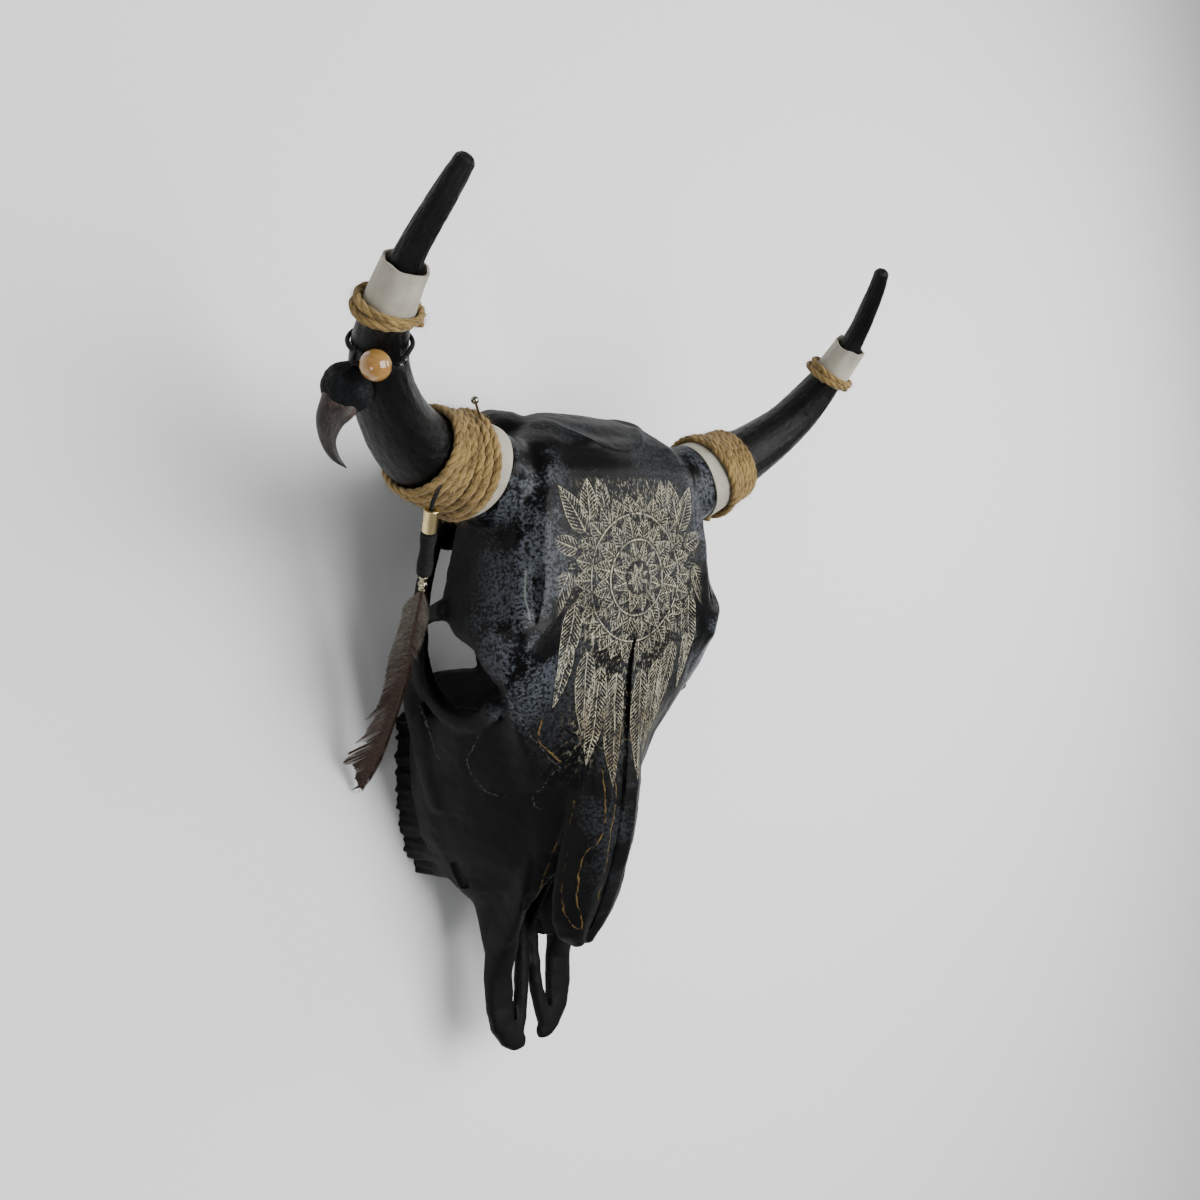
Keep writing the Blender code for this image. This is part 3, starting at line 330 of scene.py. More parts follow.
def lathe(start, way, outline, sides):
    """Circles round a straight axis, one for each (distance, radius) of the outline."""
    outline = np.asarray(outline, float)
    way = unit(np.asarray(way, float))
    right = unit(np.cross(way, (0.31, 0.93, 0.17)))
    other = np.cross(way, right)
    turn = np.linspace(0, 2 * math.pi, sides, endpoint=False)[None, :, None]
    middle = np.asarray(start) + outline[:, :1] * way
    return middle[:, None] + outline[:, 1, None, None] * (right * np.cos(turn) + other * np.sin(turn))


def closed_ends(grid):
    """The grid with its middle point added as a last row at each end."""
    first = np.broadcast_to(grid[:1].mean(1, keepdims=True), grid[:1].shape)
    last = np.broadcast_to(grid[-1:].mean(1, keepdims=True), grid[-1:].shape)
    return np.concatenate([first, grid, last])


class Pile:
    """Grids of points gathered into one mesh, with a UV map: share round the section, and metres along."""

    def __init__(self):
        self.points, self.quads, self.uvs, self.shades = [], [], [], []
        self.count = 0

    def add(self, grids, around=True, looped=False, shade=0.0):
        """Quads between the neighbours of a grid, or of many like grids at once."""
        grids = np.asarray(grids, float)
        grids = grids[None] if grids.ndim == 3 else grids
        many, rows, columns = grids.shape[:3]
        start = self.count + (np.arange(many) * rows * columns)[:, None, None]
        i = np.arange(rows if looped else rows - 1)[None, :, None]
        j = np.arange(columns if around else columns - 1)[None, None, :]
        below, right = (i + 1) % rows, (j + 1) % columns
        corners = (i * columns + j, i * columns + right, below * columns + right, below * columns + j)
        quads = np.stack([start + corner for corner in corners], -1)
        middles = grids.mean(2)
        steps = np.linalg.norm(np.diff(middles, axis=1, append=middles[:, :1]), axis=2)
        along = np.concatenate([np.zeros((many, 1)), np.cumsum(steps, 1)], 1)
        share = columns if around else max(columns - 1, 1)
        u, v = np.broadcast_arrays(j / share, along[:, :-1][:, i[0, :, 0], None])
        u2, v2 = np.broadcast_arrays((j + 1) / share, along[:, 1:][:, i[0, :, 0], None])
        uv = np.stack([np.stack(pair, -1) for pair in ((u, v), (u2, v), (u2, v2), (u, v2))], -2)
        self.points.append(grids.reshape(-1, 3))
        self.quads.append(quads.reshape(-1, 4))
        self.uvs.append(uv.reshape(-1, 2))
        tones = np.broadcast_to(np.asarray(shade, float).reshape(-1, 1), (many, rows * columns))
        self.shades.append(tones.ravel())
        self.count += many * rows * columns
        return self

    def mesh(self, name, merge=False, shift=True):
        points, quads = np.vstack(self.points), np.vstack(self.quads)
        mesh = bpy.data.meshes.new(name)
        mesh.vertices.add(len(points))
        mesh.vertices.foreach_set("co", (points + SHIFT if shift else points).ravel())
        mesh.loops.add(quads.size)
        mesh.loops.foreach_set("vertex_index", quads.ravel().astype(np.int32))
        mesh.polygons.add(len(quads))
        mesh.polygons.foreach_set("loop_start", np.arange(0, quads.size, 4, dtype=np.int32))
        mesh.update(calc_edges=True)
        layer = mesh.uv_layers.new(name="UVMap")
        layer.uv.foreach_set("vector", np.vstack(self.uvs).ravel())
        tone = mesh.attributes.new("shade", "FLOAT", "POINT")
        tone.data.foreach_set("value", np.concatenate(self.shades))
        if merge:
            bm = bmesh.new()
            bm.from_mesh(mesh)
            bmesh.ops.remove_doubles(bm, verts=bm.verts, dist=1e-6)
            bmesh.ops.recalc_face_normals(bm, faces=bm.faces)
            bm.to_mesh(mesh)
            bm.free()
        return mesh


def piece(name, mesh, finish, nodes=(), sharp=40):
    """A finished piece at the origin, riding on the one body and standing for the named nodes."""
    mesh.materials.clear()
    mesh.materials.append(finish)
    mesh.shade_smooth()
    if sharp:
        mesh.set_sharp_from_angle(angle=math.radians(sharp))
    made = bpy.data.objects.new(name, mesh)
    bpy.context.scene.collection.objects.link(made)
    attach(made, "root")
    if nodes:
        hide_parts(*nodes)
    return made


def lattice_noise(points, size, seed):
    """Smooth noise from -1 to 1: random values on a cubic lattice, blended between the nearest eight."""
    table = np.random.default_rng(seed).uniform(-1, 1, (32, 32, 32))
    scaled = points / size
    cell = np.floor(scaled).astype(int)
    part = scaled - cell
    part = part * part * (3 - 2 * part)
    total = np.zeros(len(points))
    for dx in (0, 1):
        for dy in (0, 1):
            for dz in (0, 1):
                near_x, near_y = np.abs(1 - dx - part[:, 0]), np.abs(1 - dy - part[:, 1])
                weight = near_x * near_y * np.abs(1 - dz - part[:, 2])
                corner = (cell + (dx, dy, dz)) % 32
                total += weight * table[corner[:, 0], corner[:, 1], corner[:, 2]]
    return total


# Finishes


class Paint:
    """A tree of shader nodes: each call adds one node and gives its output socket."""

    def __init__(self, tree):
        self.tree = tree

    def add(self, kind, inputs=(), out=0, **settings):
        node = self.tree.nodes.new("ShaderNode" + kind)
        for key, value in settings.items():
            setattr(node, key, value)
        for place, value in dict(inputs).items():
            self.feed(node.inputs[place], value)
        return node.outputs[out]

    def feed(self, socket, value):
        if isinstance(value, bpy.types.NodeSocket):
            self.tree.links.new(value, socket)
        elif socket.type == "RGBA" and len(value) == 3:
            socket.default_value = (*value, 1.0)
        else:
            socket.default_value = value

    def math(self, kind, one, other=0.0, third=0.0, clamp=False):
        return self.add("Math", {0: one, 1: other, 2: third}, operation=kind, use_clamp=clamp)

    def times(self, one, *others):
        for other in others:
            one = self.math("MULTIPLY", one, other)
        return one

    def plus(self, one, other):
        return self.math("ADD", one, other)

    def less(self, one, other):
        return self.math("SUBTRACT", one, other)

    def over(self, one, other, clamp=False):
        return self.math("DIVIDE", one, other, clamp=clamp)

    def scaled(self, value, factor, rest):
        """The value times the factor, plus the rest."""
        return self.math("MULTIPLY_ADD", value, factor, rest)

    def most(self, *values):
        """The largest of the values."""
        largest = values[0]
        for value in values[1:]:
            largest = self.math("MAXIMUM", largest, value)
        return largest

    def size(self, value):
        return self.math("ABSOLUTE", value)

    def parts(self, vector):
        """The three numbers of a vector."""
        node = self.tree.nodes.new("ShaderNodeSeparateXYZ")
        self.feed(node.inputs[0], vector)
        return node.outputs

    def mix(self, share, one, other):
        return self.add("Mix", {0: share, 6: one, 7: other}, out=2, data_type="RGBA")

    def step(self, value, low, high, start=0.0, end=1.0):
        """From start to end as the value goes from low to high, evened out at both ends."""
        limits = {0: value, 1: low, 2: high, 3: start, 4: end}
        return self.add("MapRange", limits, interpolation_type="SMOOTHSTEP")

    def noise(self, vector, scale, detail=2.0, rough=0.5, warp=0.0):
        values = {"Vector": vector, "Scale": scale, "Detail": detail, "Roughness": rough, "Distortion": warp}
        return self.add("TexNoise", values)

    def stretched(self, vector, scale, turn=(0, 0, 0)):
        return self.add("Mapping", {"Vector": vector, "Scale": scale, "Rotation": turn})

    def bump(self, height, strength, distance, normal=None):
        values = {"Height": height, "Strength": strength, "Distance": distance}
        if normal is not None:
            values["Normal"] = normal
        return self.add("Bump", values)

    def group(self, tree, inputs, out=0):
        node = self.tree.nodes.new("ShaderNodeGroup")
        node.node_tree = tree
        for place, value in inputs.items():
            self.feed(node.inputs[place], value)
        return node.outputs[out]

    def combine(self, x, y, z=0.0):
        return self.add("CombineXYZ", {0: x, 1: y, 2: z})

    def place(self):
        return self.add("TexCoord", out=3)

    def uv(self):
        return self.add("TexCoord", out=2)

    def attribute(self, name):
        return self.add("Attribute", out=2, attribute_name=name)


def group_tree(name, inputs, outputs):
    """An empty node group with the named sockets; gives its Paint, its inputs and its output node."""
    tree = bpy.data.node_groups.new(name, "ShaderNodeTree")
    for label, kind in inputs:
        tree.interface.new_socket(name=label, in_out="INPUT", socket_type="NodeSocket" + kind)
    for label, kind in outputs:
        tree.interface.new_socket(name=label, in_out="OUTPUT", socket_type="NodeSocket" + kind)
    source = tree.nodes.new("NodeGroupInput")
    sink = tree.nodes.new("NodeGroupOutput")
    return tree, Paint(tree), {socket.name: socket for socket in source.outputs}, sink


def mottle_group():
    """Large soft patches with finer ones in them, between two colours."""
    tree, p, given, sink = group_tree(
        "Mottle", (("Vector", "Vector"), ("Scale", "Float"), ("Low", "Color"), ("High", "Color")),
        (("Color", "Color"),),
    )
    large = p.noise(given["Vector"], given["Scale"], 4.0, 0.6)
    value = p.step(large, 0.35, 0.68)
    p.feed(sink.inputs[0], p.mix(value, given["Low"], given["High"]))
    return tree


def strand_group():
    """Fine fibres along a twisted strand, from its UV map: long noise, turned by the distance along."""
    names = (("Vector", "Vector"), ("Twist", "Float"), ("Count", "Float"))
    tree, p, given, sink = group_tree("Strand fibres", names, (("Value", "Float"),))
    parts = p.parts(given["Vector"])
    turned = p.scaled(parts[1], given["Twist"], parts[0])
    round_ = p.times(turned, 2 * math.pi)
    ring = p.combine(p.math("SINE", round_), p.math("COSINE", round_), p.times(parts[1], 55.0))
    p.feed(sink.inputs[0], p.noise(ring, given["Count"], 3.0, 0.65))
    return tree


def leaf_group():
    """A pointed leaf cut in strokes: edge, middle rib and slanting scratches; in mm, from its base."""
    names = [(name, "Float") for name in ("Across", "Along", "Length", "Width", "Pitch", "Jitter")]
    tree, p, given, sink = group_tree("Engraved leaf", names, (("Mask", "Float"),))
    share = p.over(given["Along"], given["Length"], clamp=True)
    swell = p.times(p.math("SQRT", share), p.less(1.0, share))
    half = p.times(p.times(swell, 2.6), given["Width"])
    across = p.size(given["Across"])
    deep = p.less(half, across)
    inside = p.step(deep, -0.1, 0.25)
    edge = p.step(p.size(deep), 0.35, 0.75, 1.0, 0.0)
    rib = p.step(across, 0.25, 0.6, 1.0, 0.0)
    slant = p.scaled(across, -0.9, p.plus(given["Along"], given["Jitter"]))
    wave = p.over(p.math("PINGPONG", slant, p.times(given["Pitch"], 0.5)), given["Pitch"])
    shade = p.step(deep, 0.0, p.times(given["Width"], 0.9), 0.19, 0.05)
    strokes = p.step(p.less(shade, wave), -0.05, 0.05)
    mark = p.most(p.most(edge, rib), strokes)
    within = p.times(inside, p.math("GREATER_THAN", given["Along"], 0.0))
    p.feed(sink.inputs[0], p.times(mark, within))
    return tree


def petal_ring(p, leaf, jitter, radius, angle, count, inner, outer, pitch):
    """Leaves side by side round a middle, from the inner to the outer radius in mm."""
    cells = p.times(angle, count / (2 * math.pi))
    off = p.less(p.math("FRACT", p.plus(cells, 100.0)), 0.5)
    arc = 2 * math.pi / count
    across = p.times(p.times(off, arc), radius)
    width = 0.5 * arc * (inner + 0.36 * (outer - inner))
    along = p.less(radius, inner)
    sizes = {"Length": outer - inner, "Width": width, "Pitch": pitch, "Jitter": jitter}
    return p.group(leaf, {"Across": across, "Along": along, **sizes})


def placed_leaf(p, leaf, jitter, x, y, base, heading, length, width, pitch=3.0):
    """One leaf from a base point in mm, heading so many degrees from +Y towards +X."""
    turn = math.radians(heading)
    dx, dy = p.less(x, base[0]), p.less(y, base[1])
    along = p.plus(p.times(dx, math.sin(turn)), p.times(dy, math.cos(turn)))
    across = p.less(p.times(dx, math.cos(turn)), p.times(dy, math.sin(turn)))
    sizes = {"Length": length, "Width": width, "Pitch": pitch, "Jitter": jitter}
    return p.group(leaf, {"Across": across, "Along": along, **sizes})


# Leaves of the design on each side of the middle line: base in mm, heading, length and half width
SIDE_LEAVES = (
    ((50, -100), 30, 38, 9),
    ((46, -92), -5, 30, 8),
    ((58, -112), 70, 24, 7),
    ((66, -128), 150, 46, 8),
    ((60, -150), 172, 54, 9),
    ((46, -184), 188, 62, 9),
    ((30, -196), 180, 72, 9),
    ((13, -202), 180, 84, 9),
    ((62, -178), 176, 44, 6),
    ((30, -84), 10, 22, 6),
)


def engraving(p, leaf, jitter, x, y):
    """A rosette of leaf rings with leafy sprays above and long leaves below, all in fine hatch lines."""
    dy = p.plus(y, 134.0)
    radius = p.math("SQRT", p.plus(p.times(x, x), p.times(dy, dy)))
    angle = p.math("ARCTAN2", x, dy)
    marks = [
        petal_ring(p, leaf, jitter, radius, angle, 8, 2.0, 11.0, 2.4),
        petal_ring(p, leaf, jitter, radius, angle, 12, 12.5, 26.0, 2.6),
        petal_ring(p, leaf, jitter, radius, angle, 16, 29.0, 45.0, 2.8),
        petal_ring(p, leaf, jitter, radius, angle, 26, 47.5, 61.0, 2.8),
        p.step(radius, 1.4, 1.9, 1.0, 0.0),
    ]
    for ring in (27.4, 46.2):
        marks.append(p.step(p.size(p.less(radius, ring)), 0.35, 0.7, 1.0, 0.0))
    side = p.size(x)
    clear = p.step(radius, 59.0, 61.5)
    sprays = [placed_leaf(p, leaf, jitter, side, y, *row) for row in SIDE_LEAVES]
    spray = sprays[0]
    for other in sprays[1:]:
        spray = p.most(spray, other)
    whole = p.times(spray, clear)
    for mark in marks:
        whole = p.most(whole, mark)
    return whole, radius, angle


def line_over(p, along, across, points, width):
    """A line on the bone: its place across for each place along, both in mm."""
    points = sorted(points)
    low, high = points[0][0], points[-1][0]
    lowest = min(v for _, v in points)
    highest = max(v for _, v in points)
    share = p.add("MapRange", {0: along, 1: low, 2: high, 3: 0.0, 4: 1.0})
    node = p.tree.nodes.new("ShaderNodeFloatCurve")
    p.feed(node.inputs[1], share)
    line = node.mapping.curves[0]
    values = [((a - low) / (high - low), (v - lowest) / (highest - lowest)) for a, v in points]
    line.points[0].location, line.points[1].location = values[0], values[-1]
    for value in values[1:-1]:
        line.points.new(*value)
    node.mapping.update()
    place = p.scaled(node.outputs[0], highest - lowest, lowest)
    off = p.size(p.less(across, place))
    near = p.step(off, 0.5 * width, 0.9 * width, 1.0, 0.0)
    ends = p.times(p.step(along, low - 0.5, low + 1.0), p.step(along, high - 1.0, high + 0.5, 1.0, 0.0))
    return p.times(near, ends)


# Lines along the nose bones and the seams of the cheek: (y, x) or (y, z) pairs in mm in the skull's frame
OCHRE_LINES = (
    ((-396, 13), (-390, 21.5), (-378, 28), (-356, 33), (-333, 34), (-293, 33.5)),
    (
        (-396, 12), (-379, 19), (-367, 24), (-345, 27), (-331, 25), (-328, 20), (-315, 16.5), (-294, 18),
        (-262, 22),
    ),
    ((-385, 5), (-373, 6), (-349, 8), (-321, 10), (-309, 9), (-280, 11)),
    ((-263, 47), (-255, 55), (-245, 66), (-236, 69), (-226, 70)),
)
# A painted highlight: a pale greenish streak along one edge of the forehead's slit, as (y, x) pairs in mm
PAINTED_HIGHLIGHT_STREAK = ((-158, 98.5), (-140, 97.5), (-124, 95.5))
SEAMS_X = (((-268, 46), (-238, 75), (-212, 98)), ((-300, 46), (-283, 52), (-268, 46)))
SEAMS_Z = (
    ((-291, 113), (-287, 100), (-280, 94), (-262, 94), (-250, 104), (-235, 117)),
    ((-262, 73), (-240, 68), (-216, 68)),
)


def bone_paint(settings):
    finish, p, shader = new_finish("black painted bone")
    leaf = leaf_group()
    place = p.place()
    moved = p.add("VectorMath", {0: place, 1: tuple(SHIFT)}, operation="SUBTRACT")
    scaled = p.add("VectorMath", {0: moved, 3: MM}, operation="SCALE")
    x, y, z = p.parts(scaled)
    side = p.size(x)
    facing = p.parts(p.add("NewGeometry", out=1))
    upward = p.step(facing[2], -0.35, 0.45)

    patches = p.noise(place, 22.0, 5.0, 0.62)
    speck = p.noise(place, 420.0, 2.0, 0.7)
    pores = p.noise(place, 130.0, 4.0, 0.65)
    # Painted sheen: thin is a mask of speckled blue-grey patches on the upward faces of the forehead plate,
    # where the main light's reflection is painted into the colour
    flank = p.step(p.scaled(p.step(y, -262.0, -205.0), 22.0, side), 80.0, 100.0, 0.30, 1.0)
    plate = p.times(p.times(p.step(z, 128.0, 165.0), upward), flank)
    thin = p.times(p.step(p.times(p.step(patches, 0.27, 0.56), speck), 0.36, 0.60), plate)
    base = p.mix(p.step(patches, 0.3, 0.7), settings.paint, (0.0026, 0.0024, 0.0020))
    base = p.mix(thin, base, settings.sheen)
    cheek = p.times(p.step(z, 60.0, 112.0, 1.0, 0.0), p.step(y, -235.0, -205.0, 1.0, 0.0))
    base = p.mix(p.times(cheek, 0.4), base, (0.0050, 0.0050, 0.0046))

    scratch = p.noise(p.stretched(place, (1.0, 0.34, 0.34), (0, 0, 0.35)), 780.0, 2.0, 0.7)
    mask, radius, angle = engraving(p, leaf, p.times(scratch, 4.0), x, y)
    dense = p.noise(place, 34.0, 3.0, 0.6)
    broken = p.times(p.step(scratch, 0.38, 0.54), p.step(dense, 0.28, 0.52, 0.35, 1.0))
    stroke = p.noise(p.stretched(place, (420.0, 90.0, 90.0), (0, 0, 0.5)), 1.0, 2.0, 0.6)
    polar = p.combine(p.times(angle, 26.0), p.times(radius, 0.16))
    strokes = p.step(p.noise(polar, 1.6, 2.0, 0.6), 0.56, 0.66)
    strokes = p.most(strokes, p.step(stroke, 0.60, 0.68))
    reach = p.step(radius, 62.0, 74.0, 1.0, 0.0)
    lower = p.times(p.step(side, 34.0, 62.0, 1.0, 0.0), p.step(y, -280.0, -235.0))
    upper = p.times(p.step(y, -66.0, -58.0, 1.0, 0.0), p.step(side, 70.0, 80.0, 1.0, 0.0))
    field = p.times(p.most(reach, lower), upper)
    cut = p.most(p.times(mask, broken), p.times(p.times(strokes, field), 0.45))
    region = p.times(p.times(upper, p.step(y, -296.0, -270.0)), p.step(side, 74.0, 80.0, 1.0, 0.0))
    cut = p.times(p.times(cut, region), p.step(facing[2], 0.3, 0.5))
    golden = p.times(p.step(y, -250.0, -205.0, 0.85, 0.0), p.step(patches, 0.42, 0.56))
    cream = p.mix(p.noise(place, 90.0, 2.0), settings.cream, (0.27, 0.26, 0.225))
    cut_colour = p.mix(golden, cream, settings.ochre)

    wander = p.noise(place, 140.0, 2.0)
    jitter = p.times(p.less(wander, 0.5), 3.0)
    side_j, z_j = p.plus(side, jitter), p.plus(z, jitter)
    gold = None
    left_j = p.scaled(x, -1.0, jitter)
    for points, width in zip(OCHRE_LINES, (0.6, 0.6, 0.6, 1.0)):
        drawn = line_over(p, y, left_j, points, width)
        gold = drawn if gold is None else p.most(gold, drawn)
    gold = p.times(gold, p.step(p.noise(place, 110.0, 3.0), 0.38, 0.58))
    gold = p.times(gold, p.step(facing[2], 0.45, 0.60))
    seam = None
    for points in SEAMS_X:
        drawn = line_over(p, y, side_j, points, 0.7)
        seam = drawn if seam is None else p.most(seam, drawn)
    for points in SEAMS_Z:
        seam = p.most(seam, p.times(line_over(p, y, z_j, points, 0.8), p.step(side, 50.0, 56.0)))

    colour = p.mix(cut, base, cut_colour)
    colour = p.mix(p.times(gold, 0.8), colour, settings.ochre)
    colour = p.mix(p.times(p.times(seam, p.step(speck, 0.42, 0.60)), 0.6), colour, (0.10, 0.10, 0.095))
    # Painted highlight: a pale streak along the slit's edge, standing in for the light caught there
    painted_highlight_streak = line_over(p, y, p.times(x, -1.0), PAINTED_HIGHLIGHT_STREAK, 0.9)
    colour = p.mix(p.times(painted_highlight_streak, 0.55), colour, (0.17, 0.19, 0.17))
    rough = p.scaled(plate, -0.22, p.step(patches, 0.3, 0.7, 0.50, 0.66))
    rough = p.add("Mix", {0: cut, 2: rough, 3: 0.8}, data_type="FLOAT")
    height = p.scaled(speck, 0.35, p.times(pores, 0.8))
    height = p.less(height, p.times(cut, 0.35))
    height = p.less(height, p.times(seam, 1.4))
    p.feed(shader.inputs["Base Color"], colour)
    p.feed(shader.inputs["Roughness"], rough)
    shader.inputs["Specular IOR Level"].default_value = 0.12
    p.feed(shader.inputs["Normal"], p.bump(height, 0.65, 0.0009))
    return finish


def new_finish(name):
    finish = bpy.data.materials.new(name)
    finish.use_nodes = True
    p = Paint(finish.node_tree)
    return finish, p, finish.node_tree.nodes["Principled BSDF"]


def horn_finish(settings):
    finish, p, shader = new_finish("black horn")
    place, parts = p.place(), p.parts(p.uv())
    turn = p.times(parts[0], 2 * math.pi)
    ring = p.combine(p.math("SINE", turn), p.math("COSINE", turn), p.times(parts[1], 9.0))
    lines = p.noise(ring, 34.0, 3.0, 0.7)
    broad = p.noise(ring, 6.0, 3.0, 0.6)
    flakes = p.noise(place, 220.0, 3.0, 0.6)
    worn = p.times(p.step(lines, 0.56, 0.70), p.step(broad, 0.45, 0.62))
    colour = p.mix(p.times(worn, 0.4), settings.black, (0.024, 0.025, 0.026))
    p.feed(shader.inputs["Base Color"], colour)
    rough = p.scaled(flakes, 0.4, p.times(lines, 0.6))
    p.feed(shader.inputs["Roughness"], p.step(rough, 0.3, 0.7, 0.22, 0.46))
    height = p.scaled(flakes, 0.3, lines)
    shader.inputs["Specular IOR Level"].default_value = 0.16
    p.feed(shader.inputs["Normal"], p.bump(height, 0.7, 0.0006))
    return finish


def hide_finish(settings, mottle):
    finish, p, shader = new_finish("white hide")
    place = p.place()
    grey = tuple(0.72 * v for v in settings.hide)
    colour = p.group(mottle, {"Vector": place, "Scale": 40.0, "Low": settings.hide, "High": grey})
    fine = p.noise(place, 300.0, 4.0, 0.7)
    folds = p.noise(place, 70.0, 3.0, 0.6)
    p.feed(shader.inputs["Base Color"], colour)
    shader.inputs["Roughness"].default_value = 0.78
    p.feed(shader.inputs["Normal"], p.bump(p.scaled(fine, 0.3, folds), 0.5, 0.0008))
    return finish


def rope_finish(settings, strand):
    finish, p, shader = new_finish("jute rope")
    fibre = p.group(strand, {"Vector": p.uv(), "Twist": 22.0, "Count": 5.0})
    tone = p.attribute("shade")
    tint = p.noise(p.place(), 45.0, 3.0, 0.6)
    share = p.plus(p.scaled(fibre, 1.5, p.times(tint, 0.5)), p.times(tone, 0.35))
    colour = p.mix(p.step(share, 0.74, 1.36), settings.dark, settings.light)
    p.feed(shader.inputs["Base Color"], colour)
    shader.inputs["Roughness"].default_value = 0.9
    shader.inputs["Sheen Weight"].default_value = 0.15
    shader.inputs["Specular IOR Level"].default_value = 0.2
    p.feed(shader.inputs["Normal"], p.bump(fibre, 0.9, 0.0006))
    return finish


def cord_finish(settings, strand, name="black cord"):
    finish, p, shader = new_finish(name)
    fibre = p.group(strand, {"Vector": p.uv(), "Twist": 90.0, "Count": 4.0})
    colour = p.mix(p.step(fibre, 0.4, 0.7), settings.cord, (0.014, 0.014, 0.0145))
    p.feed(shader.inputs["Base Color"], colour)
    shader.inputs["Roughness"].default_value = 0.7
    shader.inputs["Specular IOR Level"].default_value = 0.2
    p.feed(shader.inputs["Normal"], p.bump(fibre, 0.7, 0.0003))
    return finish


def claw_finish(settings):
    finish, p, shader = new_finish("dark claw")
    parts, place = p.parts(p.uv()), p.place()
    turn = p.times(parts[0], 2 * math.pi)
    ring = p.combine(p.math("SINE", turn), p.math("COSINE", turn), p.times(parts[1], 28.0))
    lines = p.noise(ring, 7.0, 4.0, 0.7)
    spots = p.noise(place, 160.0, 4.0, 0.7)
    grey = p.mix(p.step(lines, 0.42, 0.66), settings.claw, (0.052, 0.044, 0.039))
    near_root = p.times(p.step(parts[1], 0.006, 0.020, 1.0, 0.0), p.step(spots, 0.46, 0.60))
    pink = p.mix(near_root, grey, (0.085, 0.050, 0.040))
    tip = p.mix(p.step(parts[1], 0.030, 0.050), pink, (0.011, 0.010, 0.0095))
    p.feed(shader.inputs["Base Color"], tip)
    p.feed(shader.inputs["Roughness"], p.step(spots, 0.3, 0.7, 0.28, 0.50))
    shader.inputs["Specular IOR Level"].default_value = 0.3
    p.feed(shader.inputs["Normal"], p.bump(lines, 0.4, 0.0004))
    return finish


def cap_finish():
    finish, p, shader = new_finish("black leather")
    place = p.place()
    creases = p.add("TexVoronoi", {"Vector": place, "Scale": 330.0}, feature="DISTANCE_TO_EDGE")
    broad = p.noise(place, 150.0, 4.0, 0.65)
    colour = p.mix(p.step(broad, 0.5, 0.75), (0.0015, 0.0021, 0.0030), (0.0065, 0.0085, 0.011))
    p.feed(shader.inputs["Base Color"], colour)
    p.feed(shader.inputs["Roughness"], p.step(broad, 0.3, 0.7, 0.8, 0.6))
    shader.inputs["Specular IOR Level"].default_value = 0.2
    height = p.scaled(p.step(creases, 0.0, 0.12), 0.4, broad)
    p.feed(shader.inputs["Normal"], p.bump(height, 0.8, 0.0010))
    return finish


def bead_finish(settings):
    finish, p, shader = new_finish("amber bead")
    place = p.place()
    swirl = p.noise(p.stretched(place, (1.0, 2.2, 1.0)), 85.0, 3.0, 0.5, 1.2)
    colour = p.mix(p.step(swirl, 0.35, 0.70), settings.amber, (0.37, 0.205, 0.052))
    p.feed(shader.inputs["Base Color"], colour)
    shader.inputs["Roughness"].default_value = 0.12
    shader.inputs["Coat Weight"].default_value = 0.6
    shader.inputs["Coat Roughness"].default_value = 0.04
    shader.inputs["Subsurface Weight"].default_value = 0.15
    shader.inputs["Subsurface Scale"].default_value = 0.003
    return finish


def glass_finish():
    finish, p, shader = new_finish("dark bead")
    faint = p.noise(p.place(), 500.0)
    p.feed(shader.inputs["Base Color"], p.mix(faint, (0.006, 0.006, 0.008), (0.016, 0.014, 0.014)))
    shader.inputs["Roughness"].default_value = 0.08
    return finish


def metal_finish(name, colour, low, high, scale):
    finish, p, shader = new_finish(name)
    scuffs = p.noise(p.stretched(p.place(), (1.0, 0.3, 1.0)), scale, 4.0, 0.65)
    darker = tuple(0.72 * v for v in colour)
    p.feed(shader.inputs["Base Color"], p.mix(p.step(scuffs, 0.3, 0.7), colour, darker))
    shader.inputs["Metallic"].default_value = 1.0
    p.feed(shader.inputs["Roughness"], p.step(scuffs, 0.3, 0.7, low, high))
    p.feed(shader.inputs["Normal"], p.bump(scuffs, 0.3, 0.0002))
    return finish


def feather_finish(settings):
    finish, p, shader = new_finish("brown feather")
    outer = p.step(p.parts(p.uv())[1], 0.003, 0.012, 0.0, 0.55)
    tone = p.plus(p.attribute("shade"), outer)
    fine = p.noise(p.place(), 500.0, 2.0)
    brown = p.mix(p.step(fine, 0.35, 0.65), settings.vane, tuple(1.9 * v for v in settings.vane))
    grey = p.mix(p.step(fine, 0.35, 0.65), settings.grey, tuple(1.7 * v for v in settings.grey))
    colour = p.mix(p.step(tone, 0.0, 1.0), brown, grey)
    p.feed(shader.inputs["Base Color"], colour)
    shader.inputs["Roughness"].default_value = 0.62
    shader.inputs["Specular IOR Level"].default_value = 0.18
    p.feed(shader.inputs["Normal"], p.bump(fine, 0.3, 0.0002))
    return finish


def floor_finish(settings):
    finish, p, shader = new_finish("pale floor")
    grain = p.noise(p.place(), 2.0, 3.0)
    darker = tuple(0.99 * v for v in settings.floor)
    p.feed(shader.inputs["Base Color"], p.mix(grain, settings.floor, darker))
    shader.inputs["Roughness"].default_value = 0.9
    return finish


# The bone


def half_ring(y, half, points=28):
    """A closed ring across the skull: a smooth curve through the half outline, then its mirror image."""
    smooth = curve(half, points // 2 + 1)
    outline = np.vstack([smooth, smooth[1:-1][::-1] * (-1, 1)])
    return np.column_stack([outline[:, 0], np.full(len(outline), y), outline[:, 1]])


def body_of_sections(stations, count):
    """Rings at even steps between the given sections, each outline point moving in a straight line."""
    ys = np.array([y for y, _ in stations])
    halves = np.array([half for _, half in stations], float)
    order = np.argsort(ys)
    fine = np.linspace(ys.min(), ys.max(), count)
    table = np.stack([
        np.stack([np.interp(fine, ys[order], halves[order, k, axis]) for axis in (0, 1)], -1)
        for k in range(halves.shape[1])
    ], 1)
    return np.stack([half_ring(y, half) for y, half in zip(fine, table)])


